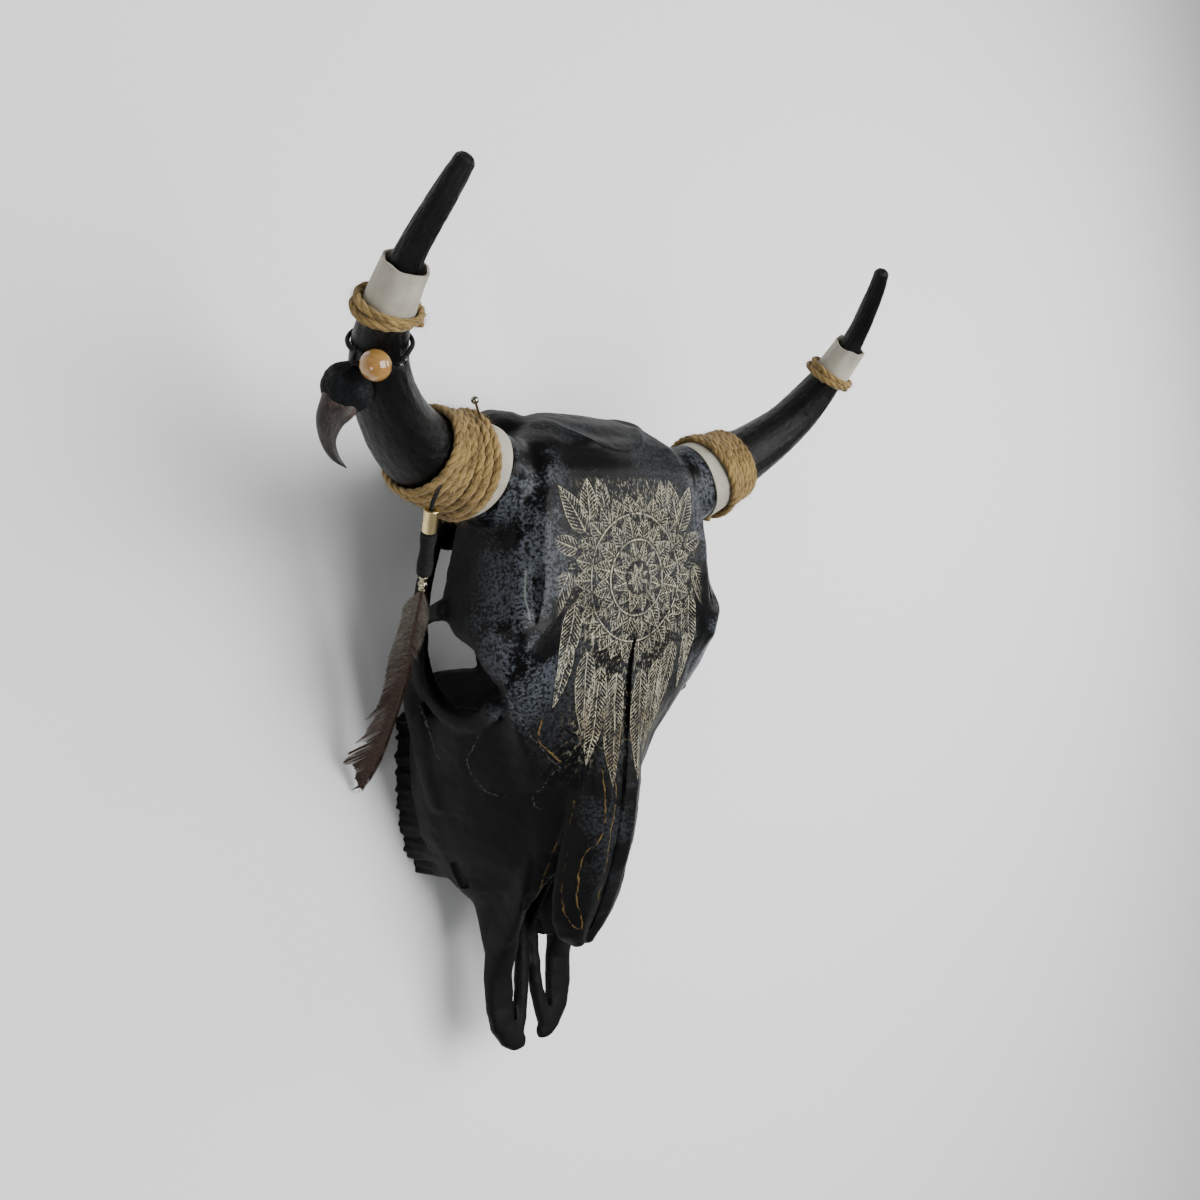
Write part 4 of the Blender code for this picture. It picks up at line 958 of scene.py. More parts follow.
def frontal_half(middle, shoulder, edge, wall=0.030):
    """Half outline of the forehead plate: over the top, down its side wall and back underneath."""
    (ws, zs), (we, ze) = shoulder, edge
    return (
        (0, middle),
        (0.55 * ws, middle - 0.25 * (middle - zs) - 0.001),
        (ws, zs),
        (0.5 * (ws + we) + 0.004, 0.5 * (zs + ze) + 0.003),
        (we, ze),
        (we - 0.010, ze - 0.005),
        (we - 0.028, ze + 0.012),
        (0.45 * we, middle - wall - 0.020),
        (0, middle - wall - 0.016),
    )


FOREHEAD = (
    (-0.007, frontal_half(0.132, (0.020, 0.130), (0.032, 0.120))),
    (-0.011, frontal_half(0.146, (0.036, 0.143), (0.050, 0.122))),
    (-0.019, frontal_half(0.161, (0.052, 0.156), (0.066, 0.124))),
    (-0.034, frontal_half(0.180, (0.070, 0.172), (0.086, 0.124))),
    (-0.055, frontal_half(0.191, (0.084, 0.181), (0.096, 0.116))),
    (-0.085, frontal_half(0.1955, (0.092, 0.184), (0.100, 0.111))),
    (-0.115, frontal_half(0.195, (0.093, 0.184), (0.109, 0.110))),
    (-0.145, frontal_half(0.192, (0.097, 0.183), (0.117, 0.112))),
    (-0.163, frontal_half(0.188, (0.106, 0.182), (0.121, 0.126))),
    (-0.183, frontal_half(0.184, (0.104, 0.178), (0.117, 0.145))),
    (-0.204, frontal_half(0.179, (0.091, 0.167), (0.107, 0.152))),
    (-0.230, frontal_half(0.174, (0.070, 0.157), (0.092, 0.138))),
    (-0.255, frontal_half(0.170, (0.050, 0.150), (0.076, 0.128))),
    (-0.285, frontal_half(0.163, (0.038, 0.146), (0.060, 0.112))),
)
# Cheek bones and palate, back to front: y, then the half outline from the top middle
FACE = (
    (-0.198, ((0, 0.165), (0.045, 0.160), (0.058, 0.130), (0.054, 0.090),
              (0.062, 0.060), (0.070, 0.034), (0.045, 0.028), (0, 0.045))),
    (-0.226, ((0, 0.168), (0.060, 0.156), (0.086, 0.140), (0.098, 0.112),
              (0.102, 0.072), (0.089, 0.028), (0.052, 0.014), (0, 0.040))),
    (-0.255, ((0, 0.165), (0.045, 0.150), (0.072, 0.128), (0.093, 0.092),
              (0.097, 0.058), (0.085, 0.018), (0.050, 0.008), (0, 0.036))),
    (-0.290, ((0, 0.157), (0.036, 0.141), (0.060, 0.110), (0.081, 0.076),
              (0.088, 0.048), (0.084, 0.018), (0.050, 0.008), (0, 0.034))),
    (-0.325, ((0, 0.142), (0.034, 0.128), (0.049, 0.104), (0.066, 0.074),
              (0.076, 0.048), (0.078, 0.020), (0.046, 0.010), (0, 0.034))),
    (-0.352, ((0, 0.122), (0.032, 0.112), (0.042, 0.095), (0.054, 0.070),
              (0.065, 0.046), (0.067, 0.026), (0.040, 0.018), (0, 0.034))),
    (-0.366, ((0, 0.108), (0.031, 0.102), (0.040, 0.089), (0.050, 0.067),
              (0.058, 0.048), (0.060, 0.034), (0.036, 0.025), (0, 0.035))),
    (-0.380, ((0, 0.093), (0.030, 0.090), (0.037, 0.081), (0.043, 0.062),
              (0.047, 0.048), (0.044, 0.036), (0.029, 0.030), (0, 0.037))),
    (-0.400, ((0, 0.070), (0.028, 0.074), (0.036, 0.072), (0.041, 0.058),
              (0.044, 0.046), (0.040, 0.037), (0.028, 0.035), (0, 0.038))),
    (-0.420, ((0, 0.050), (0.027, 0.058), (0.034, 0.058), (0.041, 0.052),
              (0.043, 0.045), (0.039, 0.039), (0.027, 0.038), (0, 0.040))),
)
# The front bone's outer wall: y, middle and half width across, lowest and highest point
SNOUT_WALL = (
    (-0.335, 0.0430, 0.0035, 0.050, 0.108),
    (-0.352, 0.0420, 0.0035, 0.046, 0.102),
    (-0.378, 0.0400, 0.0035, 0.042, 0.091),
    (-0.412, 0.0330, 0.0100, 0.040, 0.069),
    (-0.440, 0.0315, 0.0122, 0.040, 0.053),
    (-0.465, 0.0310, 0.0130, 0.040, 0.050),
    (-0.484, 0.0265, 0.0125, 0.040, 0.050),
    (-0.496, 0.0185, 0.0120, 0.040, 0.049),
    (-0.503, 0.0140, 0.0060, 0.042, 0.048),
)
NOSE_PLATE = ((-0.240, 0.050, 0.130), (-0.340, 0.042, 0.100), (-0.385, 0.042, 0.070), (-0.412, 0.044, 0.052))
WING_PLACE = 0.024
WINGS = (
    (-0.145, 0.052, 0.080, 0.004), (-0.168, 0.030, 0.092, 0.004), (-0.200, 0.036, 0.100, 0.004),
    (-0.240, 0.034, 0.080, 0.005),
)
NASALS = (
    (-0.185, 0.181, 0.014, 0.176, 0.006),
    (-0.215, 0.1765, 0.024, 0.166, 0.006),
    (-0.250, 0.172, 0.032, 0.155, 0.006),
    (-0.290, 0.1675, 0.0355, 0.144, 0.006),
    (-0.330, 0.157, 0.0365, 0.131, 0.006),
    (-0.365, 0.142, 0.036, 0.119, 0.006),
    (-0.388, 0.130, 0.032, 0.112, 0.006),
    (-0.402, 0.122, 0.024, 0.110, 0.006),
    (-0.413, 0.116, 0.009, 0.112, 0.004),
)
# Cheek teeth, back to front: length along the row, outer face from the middle plane, width, columns
TEETH = (
    (0.0270, 0.0760, 0.0225, 2),
    (0.0260, 0.0790, 0.0235, 2),
    (0.0230, 0.0800, 0.0225, 2),
    (0.0190, 0.0785, 0.0205, 1),
    (0.0180, 0.0745, 0.0175, 1),
    (0.0140, 0.0660, 0.0135, 1),
)
TEETH_START = -0.232
TOOTH_TOP = 0.034


def both(grid):
    """A form and its mirror image over the middle plane."""
    return [grid, grid * (-1, 1, 1)]


def braincase():
    forms = [
        ball((0, -0.090, 0.116), (0.070, 0.082, 0.060)),
        ball((0, -0.038, 0.100), (0.088, 0.034, 0.060)),
        ball((0, -0.018, 0.122), (0.020, 0.012, 0.022)),
        tube(
            ((0, -0.020, 0.052), (0, -0.080, 0.054), (0, -0.150, 0.070), (0, -0.205, 0.086)),
            (0.021, 0.019, 0.014, 0.010),
        ),
    ]
    pairs = (
        ball((0.060, -0.027, 0.115), (0.027, 0.0215, 0.034)),
        ball((0.024, -0.019, 0.050), (0.019, 0.020, 0.021)),
        ball((0.025, -0.012, 0.067), (0.013, 0.016, 0.022)),
        tube(
            ((0.054, -0.046, 0.070), (0.056, -0.034, 0.030), (0.050, -0.028, -0.014)),
            (0.017, 0.011, 0.007), up=(0, 1, 0),
        ),
        ball((0.042, -0.074, 0.046), (0.013, 0.021, 0.020)),
        ball((0.078, -0.090, 0.076), (0.024, 0.016, 0.012)),
    )
    for form in pairs:
        forms += both(form)
    return forms


def cheek_arches():
    """The arch from the ear forwards, the rim under the eye, the bar behind it and the cheek's crest."""
    arch = (
        (0.076, -0.062, 0.092), (0.097, -0.092, 0.085), (0.105, -0.122, 0.081), (0.110, -0.150, 0.077),
        (0.109, -0.178, 0.069),
    )
    rim = (
        (0.115, -0.150, 0.086), (0.113, -0.172, 0.077), (0.108, -0.200, 0.077),
        (0.103, -0.221, 0.092), (0.099, -0.230, 0.118), (0.100, -0.219, 0.142),
    )
    bar = ((0.119, -0.148, 0.118), (0.117, -0.151, 0.100), (0.113, -0.156, 0.080))
    crest = ((0.108, -0.186, 0.062), (0.104, -0.220, 0.058), (0.094, -0.262, 0.052), (0.084, -0.300, 0.050))
    return (
        both(tube(arch, (0.012, 0.007, 0.0055, 0.006, 0.008), (0.012, 0.009, 0.008, 0.009, 0.011)))
        + both(tube(
            rim, (0.0070, 0.0085, 0.0100, 0.0100, 0.0080, 0.0080), (0.0060,) * 6, up=(1, 0, 0), count=30
        ))
        + both(tube(bar, (0.008, 0.0065, 0.007), (0.006, 0.005, 0.006), up=(1, 0, 0)))
        + both(tube(crest, (0.006, 0.007, 0.006, 0.004), (0.012, 0.012, 0.010, 0.006)))
    )


def stumps():
    """The bony stumps that carry the horns."""
    forms = []
    for side in (-1, 1):
        stump = ((0.060, -0.066, 0.140), (0.088, -0.064, 0.146), (0.124, -0.053, 0.153))
        points = [(side * x, y + BASE_SHIFT[side], z) for x, y, z in stump]
        girth = HORN_GIRTH[side]
        forms.append(tube(points, (0.038 * girth, 0.032 * girth, 0.032 * girth), sides=24))
    return forms


def nasals():
    """The two long nose bones: thin roofs that taper to a point at the front."""
    rows = []
    for y, middle, half, edge, thick in NASALS:
        inner, drop = 0.0012, middle - edge
        section = (
            (inner, middle - 0.002),
            (inner + 0.35 * half, middle),
            (inner + 0.72 * half, middle - 0.38 * drop),
            (half, edge),
            (half - 0.004, edge - 0.003),
            (inner + 0.60 * half, middle - 0.38 * drop - thick),
            (inner + 0.25 * half, middle - thick - 0.001),
            (inner, middle - thick - 0.003),
        )
        rows.append([(x, y, z) for x, z in section])
    return both(np.array(rows, float))


def snout():
    """The forked bones at the front: outer wall and inner prong on each side, and the nose's thin plate."""
    turn = np.linspace(0, 2 * math.pi, 16, endpoint=False)
    soft_x = np.sign(np.cos(turn)) * np.abs(np.cos(turn)) ** 0.7
    soft_z = np.sign(np.sin(turn)) * np.abs(np.sin(turn)) ** 0.7
    wall = np.array([
        np.column_stack([
            x + half * soft_x, np.full(16, y), 0.5 * (low + high) + 0.5 * (high - low) * soft_z
        ])
        for y, x, half, low, high in SNOUT_WALL
    ])
    prong = (
        (0.0060, -0.375, 0.046), (0.0055, -0.410, 0.046), (0.0070, -0.445, 0.045), (0.0105, -0.476, 0.045),
        (0.0165, -0.494, 0.045),
    )
    inner = tube(prong, (0.005, 0.0055, 0.006, 0.006, 0.007), (0.005, 0.005, 0.005, 0.0048, 0.0045))
    plate = np.array([
        [(x, y, z) for x, z in ((-0.0022, low), (0.0022, low), (0.0022, high), (-0.0022, high))]
        for y, low, high in NOSE_PLATE
    ])
    wings = np.array([
        [(WING_PLACE + side * half, y, z) for side, z in ((-1, low), (1, low), (1, high), (-1, high))]
        for y, low, high, half in WINGS
    ])
    return both(wall) + both(inner) + [plate] + both(wings)


def teeth():
    """Upright columns with rounded ends, one or two to a tooth."""
    forms, start = [], TEETH_START
    turn = np.linspace(0, 2 * math.pi, 16, endpoint=False)
    for length, outer, width, columns in TEETH:
        half = 0.5 * length / columns
        for k in range(columns):
            y = start - length * (k + 0.5) / columns
            rings = [
                np.column_stack([
                    outer - 0.5 * width + 0.5 * width * swell * np.cos(turn),
                    y + 1.32 * half * swell * np.sin(turn),
                    np.full(16, z),
                ])
                for z, swell in ((BITE_LEVEL - 0.004, 0.92), (BITE_LEVEL + 0.008, 1.0), (TOOTH_TOP, 0.86))
            ]
            forms += both(np.array(rings))
        start -= length
    return forms


def hollows():
    """The eye sockets, the nose and the opening at the back of the braincase."""
    socket_turn = Matrix.Rotation(math.radians(-14), 3, "Z") @ Matrix.Rotation(math.radians(8), 3, "Y")
    nose = (
        (0, -0.255, 0.092), (0, -0.300, 0.090), (0, -0.345, 0.092), (0, -0.380, 0.088), (0, -0.420, 0.082),
        (0, -0.520, 0.085),
    )
    return (
        both(ball((0.100, -0.192, 0.114), (0.046, 0.031, 0.033), socket_turn))
        + both(ball((0.079, -0.170, 0.098), (0.026, 0.027, 0.032)))
        + [
            tube(
                nose, (0.020, 0.028, 0.030, 0.031, 0.031, 0.030), (0.026, 0.040, 0.044, 0.044, 0.036, 0.036),
                sides=24,
            ),
            tube(((0, 0.040, 0.078), (0, -0.010, 0.080), (0, -0.065, 0.100)), (0.018, 0.018, 0.024)),
        ]
    )


def fine_hollows():
    """The slits in the snout, the crack between the nose bones and the small openings for nerves."""
    slit = ((0.0105, -0.406, 0.044), (0.0155, -0.440, 0.044), (0.0190, -0.478, 0.044))
    groove = ((0.0890, -0.108, 0.190), (0.0915, -0.135, 0.190), (0.0940, -0.162, 0.187))
    crack = (
        (0.0010, -0.178, 0.185), (-0.0015, -0.200, 0.181), (0.0010, -0.235, 0.175), (0.0, -0.290, 0.169),
        (0.0, -0.330, 0.159), (0.0, -0.365, 0.144), (0.0, -0.402, 0.123),
    )
    widths = (0.0008, 0.0028, 0.0026, 0.0024, 0.0024, 0.0022, 0.0010)
    return (
        both(tube(slit, (0.0015, 0.0032, 0.0018), (0.020,) * 3, count=12))
        + both(tube(((0.070, -0.345, 0.046), (0.060, -0.366, 0.046)), (0.004, 0.0045), (0.004, 0.006)))
        + both(tube(groove, (0.0015, 0.0050, 0.0015), (0.004, 0.013, 0.004), count=14))
        + [tube(crack, widths, (0.007,) * 7, count=28, sides=8)]
    )


def gathered(forms):
    """One mesh of closed forms that may run into each other."""
    pile = Pile()
    for form in forms:
        pile.add(closed_ends(form))
    return pile.mesh("forms", merge=True, shift=False)


def fused(mesh, grain, smoothing):
    """One skin over the forms, at an even grain, softened by so many rounds."""
    carrier = bpy.data.objects.new("fused", mesh)
    bpy.context.scene.collection.objects.link(carrier)
    skin = carrier.modifiers.new("Skin", "REMESH")
    skin.mode = "VOXEL"
    skin.voxel_size = grain
    if smoothing:
        soften = carrier.modifiers.new("Soften", "SMOOTH")
        soften.factor = 0.5
        soften.iterations = smoothing
    return settled(carrier)


def settled(carrier):
    """The evaluated mesh of an object, which is then removed."""
    graph = bpy.context.evaluated_depsgraph_get()
    mesh = bpy.data.meshes.new_from_object(carrier.evaluated_get(graph))
    bpy.data.objects.remove(carrier)
    return mesh


def carved(mesh, cutter_mesh):
    carrier = bpy.data.objects.new("carved", mesh)
    tool = bpy.data.objects.new("cutter", cutter_mesh)
    for made in (carrier, tool):
        bpy.context.scene.collection.objects.link(made)
    cut = carrier.modifiers.new("Cut", "BOOLEAN")
    cut.operation = "DIFFERENCE"
    cut.solver = "EXACT"
    cut.object = tool
    result = settled(carrier)
    bpy.data.objects.remove(tool)
    return result


def thinned(mesh, triangles):
    """The mesh with fewer faces where it is flat, down to about so many triangles."""
    carrier = bpy.data.objects.new("thinned", mesh)
    bpy.context.scene.collection.objects.link(carrier)
    thin = carrier.modifiers.new("Thin", "DECIMATE")
    mesh.calc_loop_triangles()
    thin.ratio = min(1.0, triangles / len(mesh.loop_triangles))
    return settled(carrier)


def joined(meshes):
    bm = bmesh.new()
    for mesh in meshes:
        bm.from_mesh(mesh)
    result = bpy.data.meshes.new("joined")
    bm.to_mesh(result)
    bm.free()
    return result


def points_of(mesh, what="co"):
    values = np.empty(len(mesh.vertices) * 3, np.float32)
    source = mesh.vertices if what == "co" else mesh.vertex_normals
    source.foreach_get("co" if what == "co" else "vector", values)
    return values.reshape(-1, 3).astype(float)


def bone_relief(points):
    """Height of the fine relief at each point: soft dents, folds of the teeth and a faint crest."""
    x, y, z = points.T
    side = np.abs(x)
    soft = 0.0009 * lattice_noise(points, 0.022, 3) + 0.0004 * lattice_noise(points, 0.008, 4)
    tooth = np.clip((0.015 - z) / 0.005, 0, 1) * np.clip((side - 0.048) / 0.006, 0, 1)
    tooth = tooth * np.clip((-0.228 - y) / 0.006, 0, 1) * np.clip((y + 0.372) / 0.006, 0, 1)
    folds = 0.0008 * np.sin(2 * math.pi * y / 0.0068)
    folds = folds + 0.0009 * lattice_noise(points * (1, 2, 0.4), 0.005, 5)
    behind = y + 0.043 - 12 * x * x
    crest = 0.0026 * np.exp(-np.abs(behind) / 0.005) - 0.0016 * np.exp(-(((behind - 0.013) / 0.007) ** 2))
    crest = crest * np.clip((0.075 - side) / 0.02, 0, 1) * np.clip((z - 0.150) / 0.02, 0, 1)
    dents = -0.0007 * np.clip(lattice_noise(points, 0.0065, 6) - 0.35, 0, 1)
    return soft * (1 - 0.5 * tooth) + folds * tooth + crest + dents


def flattened(points):
    """Bone kept off the floor plane under the teeth, and off the bands round the horns."""
    points = points.copy()
    points[:, 2] = np.maximum(points[:, 2], BITE_LEVEL)
    for side in (-1, 1):
        horn = Horn(side)
        start, way = horn.path[0], horn.tangents[0]
        place = (points - start) @ way
        out = np.linalg.norm(points - start - place[:, None] * way, axis=1)
        room = (place > BASE_BAND[0] - GAP) & (place < 0.085) & (out < 0.046)
        inside = (place < STUMP_END) & (out < 0.024)
        back = np.where(room & ~inside, place - (BASE_BAND[0] - GAP), 0)
        points -= back[:, None] * way
    return points


def make_bone(settings):
    grain = settings.grain
    shells = [body_of_sections(FOREHEAD, 70), body_of_sections(FACE, 50)]
    body = gathered(shells + braincase() + cheek_arches() + stumps())
    rounds = round(3 * (0.0026 / grain) ** 2)
    body = fused(body, grain, rounds)
    body = carved(body, fused(gathered(hollows()), grain, rounds))
    late = fused(gathered(nasals() + snout() + teeth()), grain, 0)
    whole = fused(joined((body, late)), grain, 2)
    whole = carved(whole, fused(gathered(fine_hollows()), 0.0011, 0))
    points, normals = points_of(whole), points_of(whole, "normal")
    points = flattened(points + normals * bone_relief(points)[:, None])
    whole.vertices.foreach_set("co", (points + SHIFT).ravel())
    whole.update()
    whole = thinned(whole, BONE_TRIANGLES)
    piece("skull_bone", whole, bone_paint(settings), ("skull",), sharp=0)


# The horns and what is bound round them


class Horn:
    """The middle line of one horn, with its radius and two axes across it at each place along."""

    def __init__(self, side):
        points = np.array(HORN_LINE) * (side, 1, 1)
        points[:2, 1] += BASE_SHIFT[side]
        table = curve(np.column_stack([points, np.array(HORN_RADII) * HORN_GIRTH[side]]), 240)
        self.path, self.radii = table[:, :3], table[:, 3]
        self.at = travelled(self.path)
        self.length = self.at[-1]
        self.tangents = unit(np.gradient(self.path, axis=0))
        self.across = unit(np.cross(self.tangents, (0, 0, 1)))
        self.up = np.cross(self.tangents, self.across)

    def read(self, table, places):
        places = np.asarray(places, float)
        return np.stack([np.interp(places, self.at, table[:, k]) for k in range(3)], -1)

    def middle(self, places):
        return self.read(self.path, places)

    def radius(self, places):
        return np.interp(places, self.at, self.radii)

    def skin(self, places, turns, radii):
        """Points round the horn: middle + radius x (across x cos + up x sin), for arrays of one shape."""
        out = unit(self.read(self.across, places)) * np.cos(turns)[..., None]
        out = out + unit(self.read(self.up, places)) * np.sin(turns)[..., None]
        return self.middle(places) + out * radii[..., None]

    def turn_of(self, place, way):
        """The angle round the horn that faces the given direction."""
        across, up = self.read(self.across, place), self.read(self.up, place)
        return math.atan2(np.dot(way, up), np.dot(way, across))

    def around(self, place, radius, turns, towards):
        """Points round one place, turned by the given angles from a direction."""
        tangent = unit(self.read(self.tangents, place))
        normal = unit(np.asarray(towards) - tangent * np.dot(towards, tangent))
        other = np.cross(tangent, normal)
        turns = np.asarray(turns)[:, None]
        return self.middle(place) + radius * (normal * np.cos(turns) + other * np.sin(turns))


def horn_surface(horn, seed, striation):
    """Circles along the horn, with fine ridges along it, low growth rings near its base and a blunt tip."""
    tip = horn.length - np.array((0.0025, 0.001, 0.0002))
    places = np.concatenate([np.linspace(STUMP_END, horn.length - 0.004, 230), tip])
    turns = np.linspace(0, 2 * math.pi, 144, endpoint=False)
    grid_places, grid_turns = np.meshgrid(places, turns, indexing="ij")
    base = np.stack([np.cos(grid_turns), np.sin(grid_turns), 0.30 * grid_places / 0.03], -1).reshape(-1, 3)
    ridges = lattice_noise(base, 0.16, seed).reshape(grid_places.shape)
    ridges += 0.6 * lattice_noise(base * (1, 1, 1.6), 0.06, seed + 1).reshape(grid_places.shape)
    rings = np.sin(2 * math.pi * grid_places / 0.0085 + 0.8 * ridges)
    rings = rings * np.clip((0.150 - grid_places) / 0.08, 0, 1)
    shares = np.concatenate([np.ones(230), (0.86, 0.60, 0.22)])[:, None]
    radii = horn.radius(grid_places) * shares + striation * ridges + 0.00005 * rings
    return horn.skin(grid_places, grid_turns, radii)


def make_horns(settings):
    finish = horn_finish(settings)
    for side, word in ((-1, "left"), (1, "right")):
        pile = Pile().add(closed_ends(horn_surface(Horn(side), 11 + side, settings.striation)))
        mesh = pile.mesh("horn", merge=True)
        piece(f"horn_sheath_{word}", mesh, finish, (f"horn_{word}",), sharp=0)


def band_surface(horn, span, rise, wobble, seed, slope=0.0):
    """A thin sleeve: inner wall, rounded edge, outer wall and edge, with uneven edges and soft ripples."""
    turns = np.linspace(0, 2 * math.pi, 96, endpoint=False)
    start, end = span
    share = np.linspace(0, 1, 14)
    profile = [(s, 0.0) for s in share[::-1]] + [(0.0, 0.5)] + [(s, 1.0) for s in share] + [(1.0, 0.5)]
    profile = np.array(profile)
    phase = np.random.default_rng(seed).uniform(0, 2 * math.pi, 4)
    edge = wobble * (np.sin(2 * turns + phase[0]) + 0.6 * np.sin(5 * turns + phase[1]))
    ripple = 0.00025 * (np.sin(3 * turns + phase[2]) + 0.6 * np.sin(8 * turns + phase[3]))
    near_edge = np.abs(2 * profile[:, :1] - 1) ** 3 * np.where(profile[:, :1] > 0.5, 1, -0.6)
    facing = horn.turn_of(end, np.array(SEEN_FROM))
    lower = slope * (0.5 + 0.5 * np.cos(turns - facing)) * profile[:, :1]
    places = start + profile[:, :1] * (end - start) + near_edge * edge - lower
    over = rise(places) + profile[:, 1:] * BAND_WALL + ripple * (profile[:, :1] * 2)
    return horn.skin(places, np.broadcast_to(turns, places.shape), horn.radius(places) + over)


def top_rise(places):
    """How far the top band stands off the horn, which tapers more than it does."""
    return GAP + TOP_FLARE * np.clip((places - TOP_BAND[0]) / (TOP_BAND[1] - TOP_BAND[0]), 0, 1)


def make_bands(settings, mottle):
    finish = hide_finish(settings, mottle)
    for side, word in ((-1, "left"), (1, "right")):
        horn = Horn(side)
        base = band_surface(horn, BASE_BAND, lambda places: GAP + 0 * places, 0.0007, 20 + side)
        top = band_surface(horn, TOP_BAND, top_rise, 0.0006, 30 + side, TOP_SLOPE)
        for name, grid in (("base_band", base), ("top_band", top)):
            mesh = Pile().add(grid, looped=True).mesh(name, merge=True)
            piece(f"{name}_hide_{word}", mesh, finish, (f"{name}_{word}",), sharp=60)


def rope_path(horn, span, turns, under, radius, seed):
    """Rings round the horn: each turn stays level, then steps over to the next one on the far side."""
    count = int(turns * 190)
    angle = np.linspace(0, 2 * math.pi * (turns - 0.02), count)
    rng = np.random.default_rng(seed)
    phase = rng.uniform(0, 2 * math.pi, 6)
    drift = sum(np.sin((0.7 + 0.9 * k) * angle + phase[k]) for k in range(3)) / 3
    lift = sum(np.sin((0.5 + 1.3 * k) * angle + phase[3 + k]) for k in range(3)) / 3
    whole, part = np.divmod(angle / (2 * math.pi), 1.0)
    step = np.clip((part - 0.62) / 0.36, 0, 1)
    level = np.minimum(whole + step * step * (3 - 2 * step), turns - 1)
    start, end = span[0] + radius, span[1] - radius
    inner = np.clip(4 * level * (turns - 1 - level), 0, 1)
    places = start + (end - start) * level / (turns - 1) + 0.0009 * drift * inner
    over = under(places) + 0.5 * ROPE + 0.0004 * lift
    hidden = horn.turn_of(places[0], -np.array(SEEN_FROM)) - 2 * math.pi * 0.2
    return places, horn.skin(places, angle + hidden, horn.radius(places) + over)


def strands_along(path, out, radius, lay, plies=3, sides=9):
    """Twisted strands, a little flattened: each one's middle circles the rope's line once for each lay."""
    along = unit(np.gradient(path, axis=0))
    out = unit(out - along * np.sum(out * along, 1, keepdims=True))
    other = np.cross(along, out)
    spin = 2 * math.pi * travelled(path) / lay
    grids = []
    for ply in range(plies):
        angle = (spin + 2 * math.pi * ply / plies)[:, None]
        centre = path + radius * (0.36 * out * np.cos(angle) + 0.47 * other * np.sin(angle))
        way = unit(np.gradient(centre, axis=0))
        right = unit(out - way * np.sum(out * way, 1, keepdims=True))
        high = np.cross(way, right)
        turn = np.linspace(0, 2 * math.pi, sides, endpoint=False)[None, :, None]
        section = 0.50 * right[:, None] * np.cos(turn) + 0.57 * high[:, None] * np.sin(turn)
        grids.append(centre[:, None] + radius * section)
    return grids


def loose_fibres(path, out, radius, count, length, seed):
    """Thin curved ribbons from the rope's skin: each point = root + way x share + fall x share squared."""
    rng = np.random.default_rng(seed)
    pick = rng.integers(1, len(path) - 1, count)
    along = unit(np.gradient(path, axis=0))[pick]
    normal = unit(out[pick])
    other = np.cross(along, normal)
    angle = rng.normal(0, 0.95, count)[:, None]
    outward = normal * np.cos(angle) + other * np.sin(angle)
    root = path[pick] + outward * 0.9 * radius
    slant = rng.normal(0, 1.0, (count, 1))
    way = along * np.sign(slant) * (0.9 + np.abs(slant))
    way = unit(way + outward * rng.uniform(0.15, 0.95, (count, 1)))
    size = length * rng.uniform(0.4, 1.5, (count, 1))
    fall = rng.normal(0, 0.35, (count, 3)) * size
    share = np.linspace(0, 1, 4)[None, :, None]
    line = root[:, None] + way[:, None] * size[:, None] * share + fall[:, None] * share**2
    width = unit(np.cross(way, outward + 0.3 * rng.normal(0, 1, (count, 3))))
    width = width[:, None] * 0.000055 * (1 - 0.6 * share)
    return np.stack([line - width, line + width], 2), rng.uniform(-0.2, 1.1, count)


def make_ropes(settings, strand):
    finish = rope_finish(settings, strand)

    def under_wrap(places):
        return GAP + (BAND_WALL + GAP) * np.clip((0.043 - places) / 0.006, 0, 1)

    def under_ring(places):
        return top_rise(np.asarray(ROPE_RING[1])) + BAND_WALL + GAP + 0 * places

    for side, word in ((-1, "left"), (1, "right")):
        horn = Horn(side)
        wraps = (
            ("base_wrap", BASE_WRAP, BASE_TURNS, under_wrap, settings.radius, settings.fibres, 0.0045),
            (
                "rope_ring", ROPE_RING, RING_TURNS, under_ring, 0.86 * settings.radius,
                settings.fibres // 5, 0.0045,
            ),
        )
        for number, (name, span, turns, under, radius, fibres, length) in enumerate(wraps):
            seed = 40 + 3 * side + number
            places, path = rope_path(horn, span, turns, under, radius, seed)
            out = path - horn.middle(places)
            pile = Pile()
            for ply, grid in enumerate(strands_along(path, out, radius, settings.lay)):
                pile.add(closed_ends(grid), shade=0.15 * ply)
            ribbons, tones = loose_fibres(path, out, radius, fibres, length, seed + 7)
            mesh_pile = pile.add(ribbons, around=False, shade=tones)
            piece(f"{name}_jute_{word}", mesh_pile.mesh(name), finish, (f"{name}_{word}",), sharp=0)


# The claw and the bead


def make_claw(settings):
    turn = np.column_stack([unit(OUTER_ACROSS), unit(np.cross(OUTER_WAY, OUTER_ACROSS)), unit(OUTER_WAY)])
    cap = ball((0, 0, 0), CAP_HALF, rows=48, columns=72)
    flat = cap.reshape(-1, 3)
    bumps = 0.0010 * lattice_noise(flat, 0.006, 51) + 0.0004 * lattice_noise(flat, 0.0022, 52)
    cap = (flat + unit(flat) * bumps[:, None]).reshape(cap.shape) @ turn.T + np.array(CAP_MIDDLE)
    mesh = Pile().add(cap).mesh("cap", merge=True)
    piece("claw_cap_leather", mesh, cap_finish(), ("claw_cap",), sharp=0)
    claw = tube(CLAW_LINE, CLAW_WIDTHS, CLAW_DEPTHS, up=tuple(OUTER_WAY), sides=40, count=70)
    mesh = Pile().add(closed_ends(claw)).mesh("claw", merge=True)
    piece("claw_hook", mesh, claw_finish(settings), ("claw",), sharp=0)


